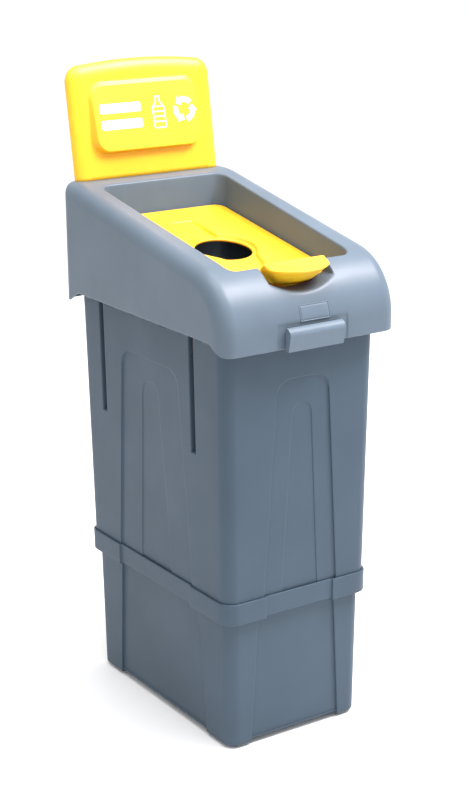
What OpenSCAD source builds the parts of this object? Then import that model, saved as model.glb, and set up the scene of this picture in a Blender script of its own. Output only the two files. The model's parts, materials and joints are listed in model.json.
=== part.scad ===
// Recycling bin station for a street, a school or a lobby. A slim container nests in a plinth,
// under a hinged hood that holds a lift-up lid with a round opening and an upright sign board.
// Origin: the centre of the footprint, on the floor. X to the right, Y to the rear, Z up.

/* [Overall] */
// Width of the hood, side to side
hood_w = 351; // [290:1:430]
// Depth of the hood, front to rear
hood_d = 521; // [430:1:630]
// Height of the container's rim above the floor
rim_z = 735; // [610:1:890]

/* [Container] */
// Wall thickness of the container
body_wall = 7; // [6:0.5:8]
// Draft of the container's sides, degrees
body_draft = 0.84; // [0.5:0.02:1.2]
// Corner radius of the container
body_r = 24; // [15:1:40]
// How far the hood stands out past the container's rim at each side
side_overhang = 22; // [18:0.5:30]
// How far the hood stands out past the container's rim at the front
front_overhang = 29; // [26:0.5:36]
// How far the hood stands out past the container's rim at the rear
rear_overhang = 19; // [16:0.5:26]
// Depth of the arched panels sunk into the container's sides
panel_sink = 3; // [1.5:0.5:3.5]
// Further depth of the narrow panel inside each arched panel
inner_sink = 1.5; // [0.5:0.5:2]
// Width of the upright grooves in the container's sides
groove_w = 15; // [10:1:20]
// Length of the upright grooves below the rim
groove_l = 215; // [150:5:260]

/* [Plinth] */
// Height of the plinth, floor to the top of its collar
plinth_h = 275; // [225:1:335]
// Height of the collar around the plinth's top
collar_h = 36; // [30:1:44]
// Wall thickness of the collar
collar_wall = 4; // [3:0.5:6]
// How far the collar stands out past the plinth below it
collar_proud = 10.7; // [8:0.1:14]
// Wall thickness of the plinth
plinth_wall = 8; // [7:0.5:10]
// Draft of the plinth's sides, degrees
plinth_draft = 0.78; // [0.4:0.02:1.2]
// Depth of the panels between the plinth's corner posts
plinth_sink = 4; // [2:0.5:5]
// Height of the feet under the plinth
foot_h = 6; // [4:1:12]
// Radius of the feet
foot_r = 14; // [10:1:20]

/* [Hood] */
// Wall thickness of the hood
hood_wall = 4; // [3:0.5:5]
// Slope of the hood's top, falling to the front, degrees
top_slope = 11; // [8:0.5:13]
// Height of the hood's top above the container's rim, at mid depth
top_rise = 144.3; // [135:0.5:170]
// Radius of the brow between the hood's top and front
brow_r = 110; // [90:1:120]
// Radius of the hood's long top edges and its corners
edge_r = 28; // [20:1:32]
// How far the hood's skirt reaches below the container's rim at the front and rear
skirt_drop = 24; // [20:1:30]
// How much higher the skirt ends along the sides
side_lift = 19; // [10:1:24]

/* [Basin and lid] */
// Width of the basin's mouth where the hood's top is lowest
basin_w = 242; // [180:1:260]
// Distance from the hood's front to the basin's mouth
basin_front = 62; // [56:1:80]
// Distance from the hood's rear to the basin's mouth
basin_rear = 65.5; // [60:0.5:80]
// Draft of the basin's walls, degrees
basin_draft = 5.1; // [3:0.1:6]
// Height of the lid's top above the container's rim, at mid depth
lid_rise = 95.3; // [90:0.5:105]
// Slope of the lid, degrees
lid_slope = 9.5; // [7:0.5:11]
// Thickness of the lid's plate
lid_t = 4; // [3:0.5:5]
// Depth of the lid's rim below its top
lid_rim = 14; // [12:1:18]
// Gap between the lid and the basin's walls
lid_gap = 2.5; // [2:0.5:4]
// Radius of the round opening in the lid
hole_r = 50; // [40:1:52]
// Depth of the recess around the round opening
recess_sink = 6; // [3:0.5:7]
// Half width of the lid's lifting nose
nose_half = 60; // [45:1:66]
// How far the lifting nose's rear edge lies in front of the basin's mouth
nose_rear = 8.5; // [6:0.5:10]
// How far the front of the lifting nose stays behind the hood's front
nose_back = 3.5; // [2:0.5:6]
// Height of the lifting nose's skirt
nose_h = 27; // [22:1:30]
// Radius of the lid's hinge pins
lid_pin_r = 4; // [3:0.5:5]

/* [Hood hinge and latch] */
// Radius of the hood's hinge pins
hinge_pin_r = 4; // [3:0.5:5]
// Outer radius of the hinge knuckles
knuckle_r = 8; // [7:0.5:9]
// Distance from the middle to each hinge
hinge_x = 100; // [80:1:110]
// Width of the middle knuckle of each hinge
knuckle_w = 30; // [20:1:40]
// Half width of the latch's grip
grip_half = 55; // [45:1:70]
// How far the grip stands out of the hood's front
grip_proud = 15; // [14:0.5:18]
// Radius of the latch's pin
latch_pin_r = 3; // [2.5:0.5:4]

/* [Sign board] */
// Half width of the sign board
sign_half = 148; // [120:1:170]
// Height of the sign board, measured along it
sign_h = 209.7; // [170:0.1:250]
// Depth of the sign board
sign_t = 16; // [12:1:20]
// How far the sign board leans back, degrees
sign_lean = 8.8; // [5:0.2:10]
// How far the sign board's front lies ahead of the hood's rear
sign_in = 22.5; // [21:0.5:24]
// How far the raised panel's lower edge stands out of the sign board
pillow_h = 15; // [8:0.5:16]
// How far the raised panel's upper edge stands out of the sign board
pillow_top = 3; // [2:0.5:8]
// Thickness of the labels
label_t = 0.4; // [0.3:0.1:0.6]

/* [Sack ring] */
// Radius of the sack ring's wire
wire_r = 4; // [3:0.5:5]
// Distance of the sack ring's wire from the container's wall
ring_gap = 8; // [6:0.5:12]

/* [Hidden] */

grey = [0.42, 0.48, 0.53];
pale_grey = [0.48, 0.54, 0.59];
yellow = [0.98, 0.90, 0.18];
steel = [0.72, 0.73, 0.75];
black = [0.10, 0.10, 0.11];
white = [0.97, 0.97, 0.97];

bore_gap = 0.05;
seat_gap = 0.4;
skin = 0.01;
touch = 0.02;
clear = 100;
far = 2000;

// The container, and the plinth it nests in
body_tan = tan(body_draft);
function body_w(z) = hood_w - 2*side_overhang - 2*body_tan*(rim_z - z);
function body_d(z) = hood_d - front_overhang - rear_overhang - 2*body_tan*(rim_z - z);
function body_half(z) = body_d(z)/2;
collar_z = plinth_h - collar_h;
seat_z = collar_z + collar_wall;
collar_r = body_r + collar_wall + seat_gap;
function collar_w(z) = body_w(z) + 2*(seat_gap + collar_wall);
function collar_d(z) = body_d(z) + 2*(seat_gap + collar_wall);
plinth_tan = tan(plinth_draft);
plinth_r = collar_r - collar_proud/2;
function plinth_w(z) = collar_w(collar_z) - 2*collar_proud - 2*plinth_tan*(collar_z - z);
function plinth_d(z) = collar_d(collar_z) - 2*collar_proud - 2*plinth_tan*(collar_z - z);
floor_t = 6;
tub_gap = 8;
tub_z = foot_h + floor_t + tub_gap;
tub_in = 2*(plinth_wall + seat_gap);
tub_r = plinth_r - plinth_wall;

// The arched panels: half widths that grow towards the floor
panel_top = rim_z - 85;
panel_r = 30;
side_half = body_d(rim_z)*0.194;
front_half = body_w(rim_z)*0.173;
inner_top = panel_top - 40;
side_inner = side_half*0.28;
front_inner = front_half*0.355;
function side_panel(z) = side_half + 0.0762*(panel_top - z);
function front_panel(z) = front_half + 0.0473*(panel_top - z);
function side_narrow(z) = side_inner + 0.0698*(inner_top - z);
function front_narrow(z) = front_inner + 0.057*(inner_top - z);
collar_step = 4;

// The hood's outline, seen from the side
y_front = -body_half(rim_z) - front_overhang;
y_rear = body_half(rim_z) + rear_overhang;
skirt_z = rim_z - skirt_drop;
function top_z(y) = rim_z + top_rise + y*tan(top_slope);
ledge_y = y_rear - 40;
ledge_z = top_z(ledge_y);
ledge_r = 6;
brow_y = y_front + brow_r;
brow_z = top_z(brow_y - brow_r*sin(top_slope)) - brow_r*cos(top_slope);
slant_y = 37;
under = 30;

// The basin and the lid in it
mouth_front = y_front + basin_front;
mouth_rear = y_rear - basin_rear;
mouth_z = top_z(mouth_front);
basin_tan = tan(basin_draft);
function lid_z(y) = rim_z + lid_rise + y*tan(lid_slope);
floor_ledge = 7;
basin_r = 16;
lid_r = 22;
lid_axis_y = mouth_rear - 23;
lid_axis_z = lid_z(lid_axis_y) - lid_rim/2;
lid_boss_r = lid_rim/2 - 0.8;
lid_boss_l = 12;
lid_tail = mouth_rear - lid_axis_y - 2;
hole_y = (mouth_front + mouth_rear)/2 + 1.5;

// The lifting nose and the scoop in the hood under it
nose_y = mouth_front - nose_rear;
nose_z = mouth_z + 2.5;
nose_fall = 0.12;
nose_tip = y_front + nose_back;
nose_sag = 23.4;
nose_arc = (nose_half*nose_half + nose_sag*nose_sag)/(2*nose_sag);
nose_taper = 18;
nose_wall = 3.5;
scoop_gap = 2;
scoop_z = nose_z - 48;

// The hood's hinges
hinge_y = y_rear - 2;
hinge_z = skirt_z - knuckle_r - 1;
ear_w = 14;
ear_gap = 0.5;

// The latch
latch_y = y_front + 9.5;
latch_z = skirt_z + 27;
grip_top = skirt_z + 36;
grip_low = skirt_z - 3;
grip_t = 3.5;
grip_round = 12;
window_half = grip_half - 5;
window_top = grip_top - 1;
arm_x = 30;
arm_w = 14;
lip_z = skirt_z + 9.5;
toe_l = 12.5;

// The sign board's place on the hood
sign_y = y_rear - sign_in;
flange_t = 4;
flange_h = 36;
flange_half = 110;
sign_screw_z = ledge_z - 21;

// ---- Outlines --------------------------------------------------------------------------------

// Points of an arc about c, from angle a to angle b
function arc(c, r, a, b, n = 8) =
    [for (i = [0:n]) [c[0] + r*cos(a + (b - a)*i/n), c[1] + r*sin(a + (b - a)*i/n)]];

// A rectangle with round corners about the origin
function round_rect(w, d, r, n = 6) = concat(
    arc([w/2 - r, d/2 - r], r, 0, 90, n),
    arc([r - w/2, d/2 - r], r, 90, 180, n),
    arc([r - w/2, r - d/2], r, 180, 270, n),
    arc([w/2 - r, r - d/2], r, 270, 360, n));

// An upright panel with round top corners, half widths low and high
function arched(z0, z1, low, high, r) = concat(
    [[-low, z0], [low, z0]],
    arc([high - r, z1 - r], r, 0, 90),
    arc([r - high, z1 - r], r, 90, 180));

// An upright panel with square corners, half widths low and high
function tapered(z0, z1, low, high) = [[-low, z0], [low, z0], [high, z1], [-high, z1]];

// A drafted box with round corners, from size a at z0 to size b at z1
module drafted(a, b, z0, z1, r) {
    hull() {
        translate([0, 0, z0]) linear_extrude(skin) polygon(round_rect(a[0], a[1], r));
        translate([0, 0, z1 - skin]) linear_extrude(skin) polygon(round_rect(b[0], b[1], r));
    }
}

module both_sides() {
    children();
    mirror([1, 0, 0]) children();
}

module both_ends() {
    children();
    mirror([0, 1, 0]) children();
}

// A cylinder along X, from x0 to x1
module rod_x(x0, x1, r) {
    translate([x0, 0, 0]) rotate([0, 90, 0]) cylinder(h = x1 - x0, r = r, $fn = 48);
}

// An outline in Y and Z, drawn out along X
module prism_x(x0, x1, points) {
    translate([x0, 0, 0]) rotate([90, 0, 90]) linear_extrude(x1 - x0) polygon(points);
}

// The region above a plane that rises to the rear
module above(z, slope) {
    translate([0, 0, z]) rotate([slope, 0, 0]) translate([-far/2, -far/2, 0]) cube([far, far, far/2]);
}

// A button-head screw that enters along +Z, its head's seat at the origin
module screw(l, r = 3, head_r = 6, head_h = 3) {
    difference() {
        union() {
            cylinder(h = l, r = r, $fn = 24);
            translate([0, 0, -head_h]) cylinder(h = head_h, r1 = head_r - 1, r2 = head_r, $fn = 32);
        }
        translate([0, 0, -head_h - 1]) cylinder(h = head_h, r = r*0.7, $fn = 6);
    }
}

// ---- Plinth and container --------------------------------------------------------------------

// The container's outer shape, with a skin of air g around it
module body_form(g = 0) {
    drafted([body_w(seat_z) + 2*g, body_d(seat_z) + 2*g], [body_w(rim_z) + 2*g, body_d(rim_z) + 2*g],
        seat_z, rim_z, body_r + g);
}

// A cut into the container's side, of depth t, with an outline in Y and height
module side_cut(t, points) {
    both_sides() translate([body_w(0)/2, 0, 0]) rotate([0, body_draft, 0])
        prism_x(-t, clear, points);
}

// The same at the front and rear, with an outline in X and height
module end_cut(t, points) {
    both_ends() translate([0, body_d(0)/2, 0]) rotate([-body_draft, 0, 0])
        rotate([0, 0, 90]) prism_x(-t, clear, points);
}

module panels(t, z0, spare = 0) {
    side_cut(t, arched(z0, panel_top, side_panel(z0) - spare, side_half - spare, panel_r));
    end_cut(t, arched(z0, panel_top, front_panel(z0) - spare, front_half - spare, panel_r));
}

// The four screws down through the container's floor into the plinth's bosses
module screw_places() {
    for (x = [-1, 1], y = [-1, 1])
        translate([x*(plinth_w(tub_z)/2 - 62), y*(plinth_d(tub_z)/2 - 70), tub_z + body_wall])
            rotate([180, 0, 0]) children();
}

module plinth() {
    color(grey) difference() {
        union() {
            drafted([plinth_w(foot_h), plinth_d(foot_h)], [plinth_w(collar_z + 2), plinth_d(collar_z + 2)],
                foot_h, collar_z + 2, plinth_r);
            drafted([collar_w(collar_z), collar_d(collar_z)], [collar_w(plinth_h), collar_d(plinth_h)],
                collar_z, plinth_h, collar_r);
        }
        difference() {
            drafted([body_w(seat_z) + 2*seat_gap, body_d(seat_z) + 2*seat_gap],
                [body_w(plinth_h + 1) + 2*seat_gap, body_d(plinth_h + 1) + 2*seat_gap],
                seat_z, plinth_h + 1, body_r + seat_gap);
            panels(panel_sink - seat_gap, 0, collar_step);
        }
        difference() {
            drafted([plinth_w(tub_z) - 2*plinth_wall, plinth_d(tub_z) - 2*plinth_wall],
                [plinth_w(seat_z + 1) - 2*plinth_wall, plinth_d(seat_z + 1) - 2*plinth_wall],
                foot_h + floor_t, seat_z + 1, tub_r);
            screw_places() translate([0, 0, body_wall]) cylinder(h = tub_gap + 1, r = 10, $fn = 32);
        }
        collar_recess();
        plinth_recess();
        screw_places() cylinder(h = tub_gap + body_wall + 4, r = 3.2, $fn = 24);
    }
}

// The collar steps inwards along each panel
module collar_recess() {
    out = seat_gap + collar_wall;
    depth = panel_sink + 0.5;
    z0 = collar_z - 1;
    z1 = plinth_h + 1;
    side = side_panel(z1) - collar_step;
    front = front_panel(z1) - collar_step;
    both_sides() translate([body_w(0)/2 + out, 0, 0]) rotate([0, body_draft, 0])
        prism_x(-depth, clear, tapered(z0, z1, side, side));
    both_ends() translate([0, body_d(0)/2 + out, 0]) rotate([-body_draft, 0, 0])
        rotate([0, 0, 90]) prism_x(-depth, clear, tapered(z0, z1, front, front));
}

// Each face between the plinth's corner posts is sunk
module plinth_recess() {
    side = side_panel(collar_z) + 5;
    side_low = side + 17;
    front = front_panel(collar_z) + 5;
    front_low = front + 13;
    out = collar_proud - 2.7;
    both_sides() translate([plinth_w(0)/2, 0, 0]) rotate([0, plinth_draft, 0])
        prism_x(-plinth_sink, out, tapered(0, collar_z, side_low, side));
    both_ends() translate([0, plinth_d(0)/2, 0]) rotate([-plinth_draft, 0, 0]) rotate([0, 0, 90])
        prism_x(-plinth_sink, out, tapered(0, collar_z, front_low, front));
}

module plinth_feet() {
    inset = foot_r + 10;
    color(black) for (x = [-1, 1], y = [-1, 1])
        translate([x*(plinth_w(foot_h)/2 - inset), y*(plinth_d(foot_h)/2 - inset), 0])
            cylinder(h = foot_h, r1 = foot_r - 1, r2 = foot_r, $fn = 48);
}

module plinth_screws() {
    color(steel) screw_places() screw(body_wall + tub_gap + 3, 3, 7, 4);
}

module container() {
    color(grey) difference() {
        union() {
            body_form();
            drafted([plinth_w(tub_z) - tub_in, plinth_d(tub_z) - tub_in],
                [plinth_w(seat_z + 2) - tub_in, plinth_d(seat_z + 2) - tub_in], tub_z, seat_z + 2, tub_r);
        }
        drafted([body_w(seat_z) - 2*body_wall, body_d(seat_z) - 2*body_wall],
            [body_w(rim_z + 1) - 2*body_wall, body_d(rim_z + 1) - 2*body_wall],
            seat_z + body_wall, rim_z + 1, body_r - body_wall);
        drafted([plinth_w(tub_z) - tub_in - 2*body_wall, plinth_d(tub_z) - tub_in - 2*body_wall],
            [plinth_w(seat_z) - tub_in - 2*body_wall, plinth_d(seat_z) - tub_in - 2*body_wall],
            tub_z + body_wall, seat_z + body_wall + 1, tub_r - body_wall + 2);
        panels(panel_sink, 0);
        side_cut(panel_sink + inner_sink,
            arched(0, inner_top, side_narrow(0), side_inner + 6, side_inner + 4));
        end_cut(panel_sink + inner_sink,
            arched(0, inner_top, front_narrow(0), front_inner + 4, front_inner + 2));
        for (y = [groove_rear, groove_front])
            translate([0, y, 0]) side_cut(groove_sink,
                tapered(rim_z - groove_l, rim_z + 9, groove_w/2, groove_w/2));
        screw_places() translate([0, 0, -1]) cylinder(h = body_wall + 2, r = 3.2, $fn = 24);
        hinge_screw_places() cylinder(h = 30, r = 2.7, $fn = 24);
        keeper_screw_places() cylinder(h = 30, r = 2.7, $fn = 24);
    }
}

groove_rear = body_half(rim_z) - 78.5;
groove_front = 99.5 - body_half(rim_z);
groove_sink = 5;

// ---- Hood ------------------------------------------------------------------------------------

// The hood's closed outer form, shrunk by t
module hood_form(t) {
    r = edge_r - t;
    x = hood_w/2 - edge_r;
    low = skirt_z - 2*t;
    y0 = y_front + edge_r;
    y1 = y_rear - edge_r;
    hull() both_sides() {
        for (i = [0:5]) {
            a = top_slope + (90 - top_slope)*i/5;
            translate([x, brow_y - (brow_r - edge_r)*sin(a), brow_z + (brow_r - edge_r)*cos(a)])
                sphere(r = r, $fn = 24);
        }
        translate([x, y0, low]) cylinder(h = 20, r = r, $fn = 24);
        translate([x, y1, low]) cylinder(h = 20, r = r, $fn = 24);
        translate([x, ledge_y, ledge_z - edge_r]) sphere(r = r, $fn = 24);
        translate([x, y1, ledge_z - t - 30]) cylinder(h = 30 - ledge_r, r = r, $fn = 24);
        translate([x, y1, ledge_z - t - ledge_r]) cylinder(h = ledge_r, r1 = r, r2 = r - ledge_r, $fn = 24);
    }
}

// The basin's outline at height z, grown by g, with corners of radius r
function basin_line(z, g, r = basin_r) = let (
        grow = (z - mouth_z)*basin_tan + g,
        w = basin_w + 2*grow,
        y0 = mouth_front - grow,
        y1 = mouth_rear + grow,
        c = (y0 + y1)/2)
    [for (p = round_rect(w, y1 - y0, r + g)) [p[0], p[1] + c]];

// The basin as a drafted block with walls grown by g
module basin_block(g, r = basin_r) {
    z0 = lid_z(mouth_front) - 45;
    z1 = ledge_z + 20;
    hull() {
        translate([0, 0, z0]) linear_extrude(skin) polygon(basin_line(z0, g, r));
        translate([0, 0, z1]) linear_extrude(skin) polygon(basin_line(z1, g, r));
    }
}

// The pocket in the brow for the fingers, grown by g
module scoop(g) {
    x = nose_half + scoop_gap + g;
    prism_x(-x, x, [[mouth_front + 6, scoop_z - g], [mouth_front + 6, nose_z + 30],
        [y_front - 20, nose_z + 30], [y_front - 20, scoop_z - g]]);
}

// The hood's skirt ends higher along the sides, with a slanted step at each end
module side_relief() {
    z = skirt_z + side_lift;
    y0 = y_front + 5;
    y1 = y_rear - 18;
    prism_x(-hood_w, hood_w, [[y0, skirt_z - under], [y0, skirt_z], [y0 + slant_y, z],
        [y1 - slant_y, z], [y1, skirt_z], [y1, skirt_z - under]]);
}

module hood() {
    lid_under = lid_rim/cos(lid_slope);
    floor_z = rim_z + lid_rise - lid_under;
    color(grey) difference() {
        union() {
            difference() {
                hood_form(0);
                difference() {
                    hood_form(hood_wall);
                    intersection() {
                        basin_block(hood_wall);
                        above(floor_z - 0.3 - hood_wall, lid_slope);
                    }
                    intersection() {
                        scoop(hood_wall);
                        translate([-hood_w/2, y_front, scoop_z - hood_wall])
                            cube([hood_w, basin_front + 4, far/10]);
                    }
                }
                translate([-hood_w, -hood_d, skirt_z - under]) cube([2*hood_w, 2*hood_d, under]);
            }
            hood_ears();
            latch_ears();
        }
        intersection() {
            basin_block(0);
            above(floor_z - 0.3, lid_slope);
        }
        basin_throat();
        scoop(0);
        side_relief();
        translate([-window_half, y_front - 1, skirt_z - under])
            cube([2*window_half, hood_wall + 2, window_top - skirt_z + under]);
        translate([0, lid_axis_y, lid_axis_z]) rod_x(-hood_w/2 + 20, hood_w/2 - 20, lid_pin_r + bore_gap);
        translate([0, hinge_y, hinge_z]) rod_x(-hood_w/2, hood_w/2, hinge_pin_r + bore_gap);
        translate([0, latch_y, latch_z]) rod_x(-hood_w/2 + 30, hood_w/2 - 30, latch_pin_r + bore_gap);
        sign_screw_places() translate([0, 0, -6]) cylinder(h = 30, r = 2.7, $fn = 24);
    }
}

// The way down through the basin's floor: a ledge for the lid at the front and sides, and none
// at the rear, where the lid's tail dips as it opens
module basin_throat() {
    z0 = lid_z(mouth_front) - 60;
    translate([0, 0, z0]) linear_extrude(far/5) polygon(basin_line(lid_z(mouth_front), -floor_ledge));
    intersection() {
        basin_block(0);
        translate([-far/4, lid_axis_y - 10, z0]) cube([far/2, far/4, far/4]);
    }
}

// The hood's knuckles, two at each hinge, below its rear skirt
module hood_ears() {
    for (s = [-1, 1], e = [-1, 1]) {
        inner = knuckle_w/2 + ear_gap;
        x = s*hinge_x + e*(inner + ear_w/2);
        translate([0, hinge_y, hinge_z]) rod_x(x - ear_w/2, x + ear_w/2, knuckle_r);
        translate([x - ear_w/2, y_rear - hood_wall, hinge_z]) cube([ear_w, hood_wall, 24]);
    }
}

// The two ears behind the hood's front that carry the latch's pin
module latch_ears() {
    both_sides() translate([window_half, y_front + hood_wall - 0.5, latch_z - 9])
        cube([8, 15, 18]);
}

// ---- Hinge -----------------------------------------------------------------------------------

module hinge_screw_places() {
    for (s = [-1, 1], e = [-1, 1])
        rear_frame(plate_z) translate([s*hinge_x + e*22, hinge_t, 0]) rotate([90, 0, 0]) children();
}

// A frame on the container's rear face at height z, with Y out of the face
module rear_frame(z) {
    translate([0, body_half(z) + touch, z]) rotate([-body_draft, 0, 0]) children();
}

module front_frame(z) {
    mirror([0, 1, 0]) rear_frame(z) children();
}

hinge_t = 4;
plate_z = rim_z - 56;
module hinge_bracket(s) {
    color(black) difference() {
        union() {
            rear_frame(plate_z) translate([s*hinge_x - 32, 0, -14]) cube([64, hinge_t, 38]);
            translate([s*hinge_x, hinge_y, hinge_z]) rod_x(-knuckle_w/2, knuckle_w/2, knuckle_r);
            intersection() {
                translate([s*hinge_x - knuckle_w/2, body_half(hinge_z) - 10, hinge_z - knuckle_r])
                    cube([knuckle_w, hinge_y - body_half(hinge_z) + 10, knuckle_r + 3]);
                rear_frame(plate_z) translate([-far/2, 0, -far/2]) cube([far, far, far]);
            }
        }
        translate([0, hinge_y, hinge_z]) rod_x(-hood_w/2, hood_w/2, hinge_pin_r + bore_gap);
        hinge_screw_places() translate([0, 0, -1]) cylinder(h = 30, r = 3.2, $fn = 24);
    }
}

module hinge_pin(s) {
    half = knuckle_w/2 + ear_gap + ear_w + 0.3;
    color(steel) translate([s*hinge_x, hinge_y, hinge_z]) {
        rod_x(-half, half, hinge_pin_r);
        rod_x(-half - 2.5, touch - half, hinge_pin_r + 2);
        rod_x(half - touch, half + 2.5, hinge_pin_r + 2);
    }
}

module hinge_screws() {
    color(steel) hinge_screw_places() screw(hinge_t + body_wall - 1, 2.5, 5, 3);
}

// ---- Latch -----------------------------------------------------------------------------------

// The grip's line from its top at depth y round to its bottom, moved in by t
function grip_line(y, t) = concat([[y, grip_top - t]],
    arc([y_front - grip_proud + grip_round, grip_top - grip_round], grip_round - t, 90, 180),
    [[y_front - grip_proud + 5.5 + t, grip_low - (t > 0 ? 1 : 0)]]);

module latch() {
    back = y_front - 0.7;
    color(pale_grey) difference() {
        union() {
            difference() {
                prism_x(-grip_half, grip_half,
                    concat(grip_line(y_front - 3.3, 0), [[back, grip_low], [back, latch_z]]));
                prism_x(grip_t - grip_half, grip_half - grip_t,
                    concat(grip_line(y_front + 5, grip_t), [[y_front + 5, grip_low - 1]]));
            }
            both_sides() latch_arm();
        }
        translate([0, latch_y, latch_z]) rod_x(-hood_w/2, hood_w/2, latch_pin_r + bore_gap);
    }
}

// One arm of the latch, from the grip back to the pin and down to the hook's toe
module latch_arm() {
    front = y_front - grip_proud + 1 - latch_y;
    toe = lip_z - 0.5 - latch_z;
    translate([0, latch_y, latch_z]) {
        rod_x(arm_x, arm_x + arm_w, 6.5);
        prism_x(arm_x, arm_x + arm_w, [[front, -6], [front, 2], [0, 4.2], [0, -6]]);
        prism_x(arm_x, arm_x + arm_w, [[-3.5, toe - 4], [-3.5, 0], [3.5, 0], [3.5, toe], [toe_l, toe],
            [toe_l, toe - 4]]);
    }
}

module latch_pin() {
    color(steel) translate([0, latch_y, latch_z]) rod_x(-window_half - 7, window_half + 7, latch_pin_r);
}

module keeper_screw_places() {
    for (s = [-1, 1])
        front_frame(rim_z - 6.5) translate([s*18, keeper_t, 0]) rotate([90, 0, 0]) children();
}

keeper_t = 3;
keeper_half = arm_x + arm_w + 3;
module latch_keeper() {
    tip = -latch_y - toe_l + 3.5 - body_half(lip_z);
    color(black) difference() {
        union() {
            front_frame(lip_z) translate([-keeper_half, 0, -7])
                cube([2*keeper_half, keeper_t, rim_z - lip_z + 6]);
            front_frame(lip_z) translate([-keeper_half, 0, 0]) cube([2*keeper_half, tip, 3]);
        }
        keeper_screw_places() translate([0, 0, -1]) cylinder(h = 30, r = 2.7, $fn = 24);
    }
}

module keeper_screws() {
    color(steel) keeper_screw_places() screw(keeper_t + body_wall - 1, 2.5, 4, 2.5);
}

// A bare plate above the grip
badge_w = 70;
badge_h = 26;
badge_t = 1.5;
badge_low = grip_top + 5;
module badge_plate() {
    color(pale_grey) intersection() {
        difference() {
            translate([-badge_w/2, y_front - 8, badge_low]) cube([badge_w, 40, badge_h]);
            hood_brow(0);
        }
        hood_brow(badge_t);
    }
}

// The hood's front and brow between its corners, grown by g
module hood_brow(g) {
    prism_x(-badge_w, badge_w, concat(
        [[y_front - g, skirt_z], [y_front + 50, skirt_z], [y_front + 50, brow_z + brow_r*sin(60)]],
        arc([brow_y, brow_z], brow_r + g, 120, 180, 24)));
}

// ---- Lid -------------------------------------------------------------------------------------

neck_half = 20;
recess_rear = 135;
recess_front = 110;
recess_lip = 4;

// The recess around the opening: a round bowl, a neck to the rear and a taper to the front
module recess_outline(g) {
    circle(r = hole_r + recess_lip + g, $fn = 96);
    polygon([[-neck_half - g, 0], [neck_half + g, 0], [neck_half + g, recess_rear + g],
        [-neck_half - g, recess_rear + g]]);
    polygon([[-hole_r - g, 0], [hole_r + g, 0], [14 + g, -recess_front - g], [-14 - g, -recess_front - g]]);
}

module lid_frame() {
    translate([0, 0, rim_z + lid_rise]) rotate([lid_slope, 0, 0]) translate([0, hole_y, 0]) children();
}

module lid() {
    color(yellow) difference() {
        union() {
            difference() {
                intersection() {
                    basin_block(-lid_gap, lid_r);
                    lid_sheet(0, lid_rim);
                }
                difference() {
                    intersection() {
                        basin_block(-lid_gap - lid_t, lid_r);
                        lid_sheet(lid_t, lid_rim + 1);
                    }
                    lid_frame() translate([0, 0, -recess_sink - lid_t]) linear_extrude(recess_sink + lid_t)
                        recess_outline(lid_t);
                }
            }
            lid_bosses();
            nose();
        }
        lid_frame() translate([0, 0, -recess_sink]) linear_extrude(recess_sink + 1) recess_outline(0);
        lid_frame() translate([0, 0, -lid_rim - 5]) cylinder(h = lid_rim + 10, r = hole_r, $fn = 96);
        translate([-far/4, lid_axis_y, lid_axis_z]) rotate([lid_slope, 0, 0])
            translate([0, lid_tail, -lid_rim]) cube([far/2, lid_rim, 2*lid_rim]);
        translate([0, lid_axis_y, lid_axis_z]) rod_x(-hood_w/2, hood_w/2, lid_pin_r + bore_gap);
    }
}

// A tilted sheet between two depths below the lid's top
module lid_sheet(top, bottom) {
    translate([0, 0, rim_z + lid_rise]) rotate([lid_slope, 0, 0])
        translate([-far/4, -far/4, -bottom]) cube([far/2, far/2, bottom - top]);
}

// Blocks at the rear of the lid's rim that turn on the pins
module lid_bosses() {
    half = basin_w/2 + (lid_axis_z - mouth_z)*basin_tan - lid_gap;
    translate([0, lid_axis_y, lid_axis_z]) both_sides() rod_x(half - lid_boss_l, half - 0.5, lid_boss_r);
}

// The nose that lifts the lid: a hollow half-moon over the front of the hood
module nose() {
    c = nose_tip + nose_arc;
    z0 = nose_z - nose_h;
    difference() {
        intersection() {
            union() {
                translate([0, c, z0])
                    cylinder(h = nose_h, r1 = nose_arc - nose_taper, r2 = nose_arc, $fn = 96);
                translate([-nose_half, mouth_front - 6, z0 - 25]) cube([2*nose_half, 30, nose_h + 25]);
            }
            prism_x(-nose_half, nose_half, nose_side(0));
        }
        intersection() {
            translate([0, c, z0 - 30]) cylinder(h = nose_h + 30,
                r1 = nose_arc - nose_wall - nose_taper*2.1, r2 = nose_arc - nose_wall, $fn = 96);
            prism_x(nose_wall - nose_half, nose_half - nose_wall, nose_side(nose_wall));
        }
    }
}

// The nose from the side: it climbs from the lid, runs flat over the hood's edge and turns down
function nose_side(t) = let (
        foot = mouth_front + 13,
        k = t*0.35)
    [[foot + 8 - t*1.6, lid_z(foot + 8) - t], [nose_y - k, nose_z - t],
    [nose_tip - 1, nose_z - t - nose_fall*50],
    [nose_tip - 1, nose_z - nose_h - t*3], [nose_y + 4, nose_z - nose_h - t*3],
    [mouth_front + 5, lid_z(foot) - lid_t - t*3]];

module lid_pin(s) {
    wall_x = basin_w/2 + (lid_axis_z - mouth_z)*basin_tan;
    head_x = wall_x + hood_wall + 1.5;
    color(steel) translate([0, lid_axis_y, lid_axis_z]) scale([s, 1, 1]) {
        rod_x(wall_x - lid_boss_l - lid_gap, head_x, lid_pin_r);
        rod_x(head_x - touch, head_x + 2.5, lid_pin_r + 2.5);
    }
}

// ---- Sign board ------------------------------------------------------------------------------

module sign_frame() {
    translate([0, sign_y, ledge_z]) rotate([-sign_lean, 0, 0]) children();
}

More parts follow.
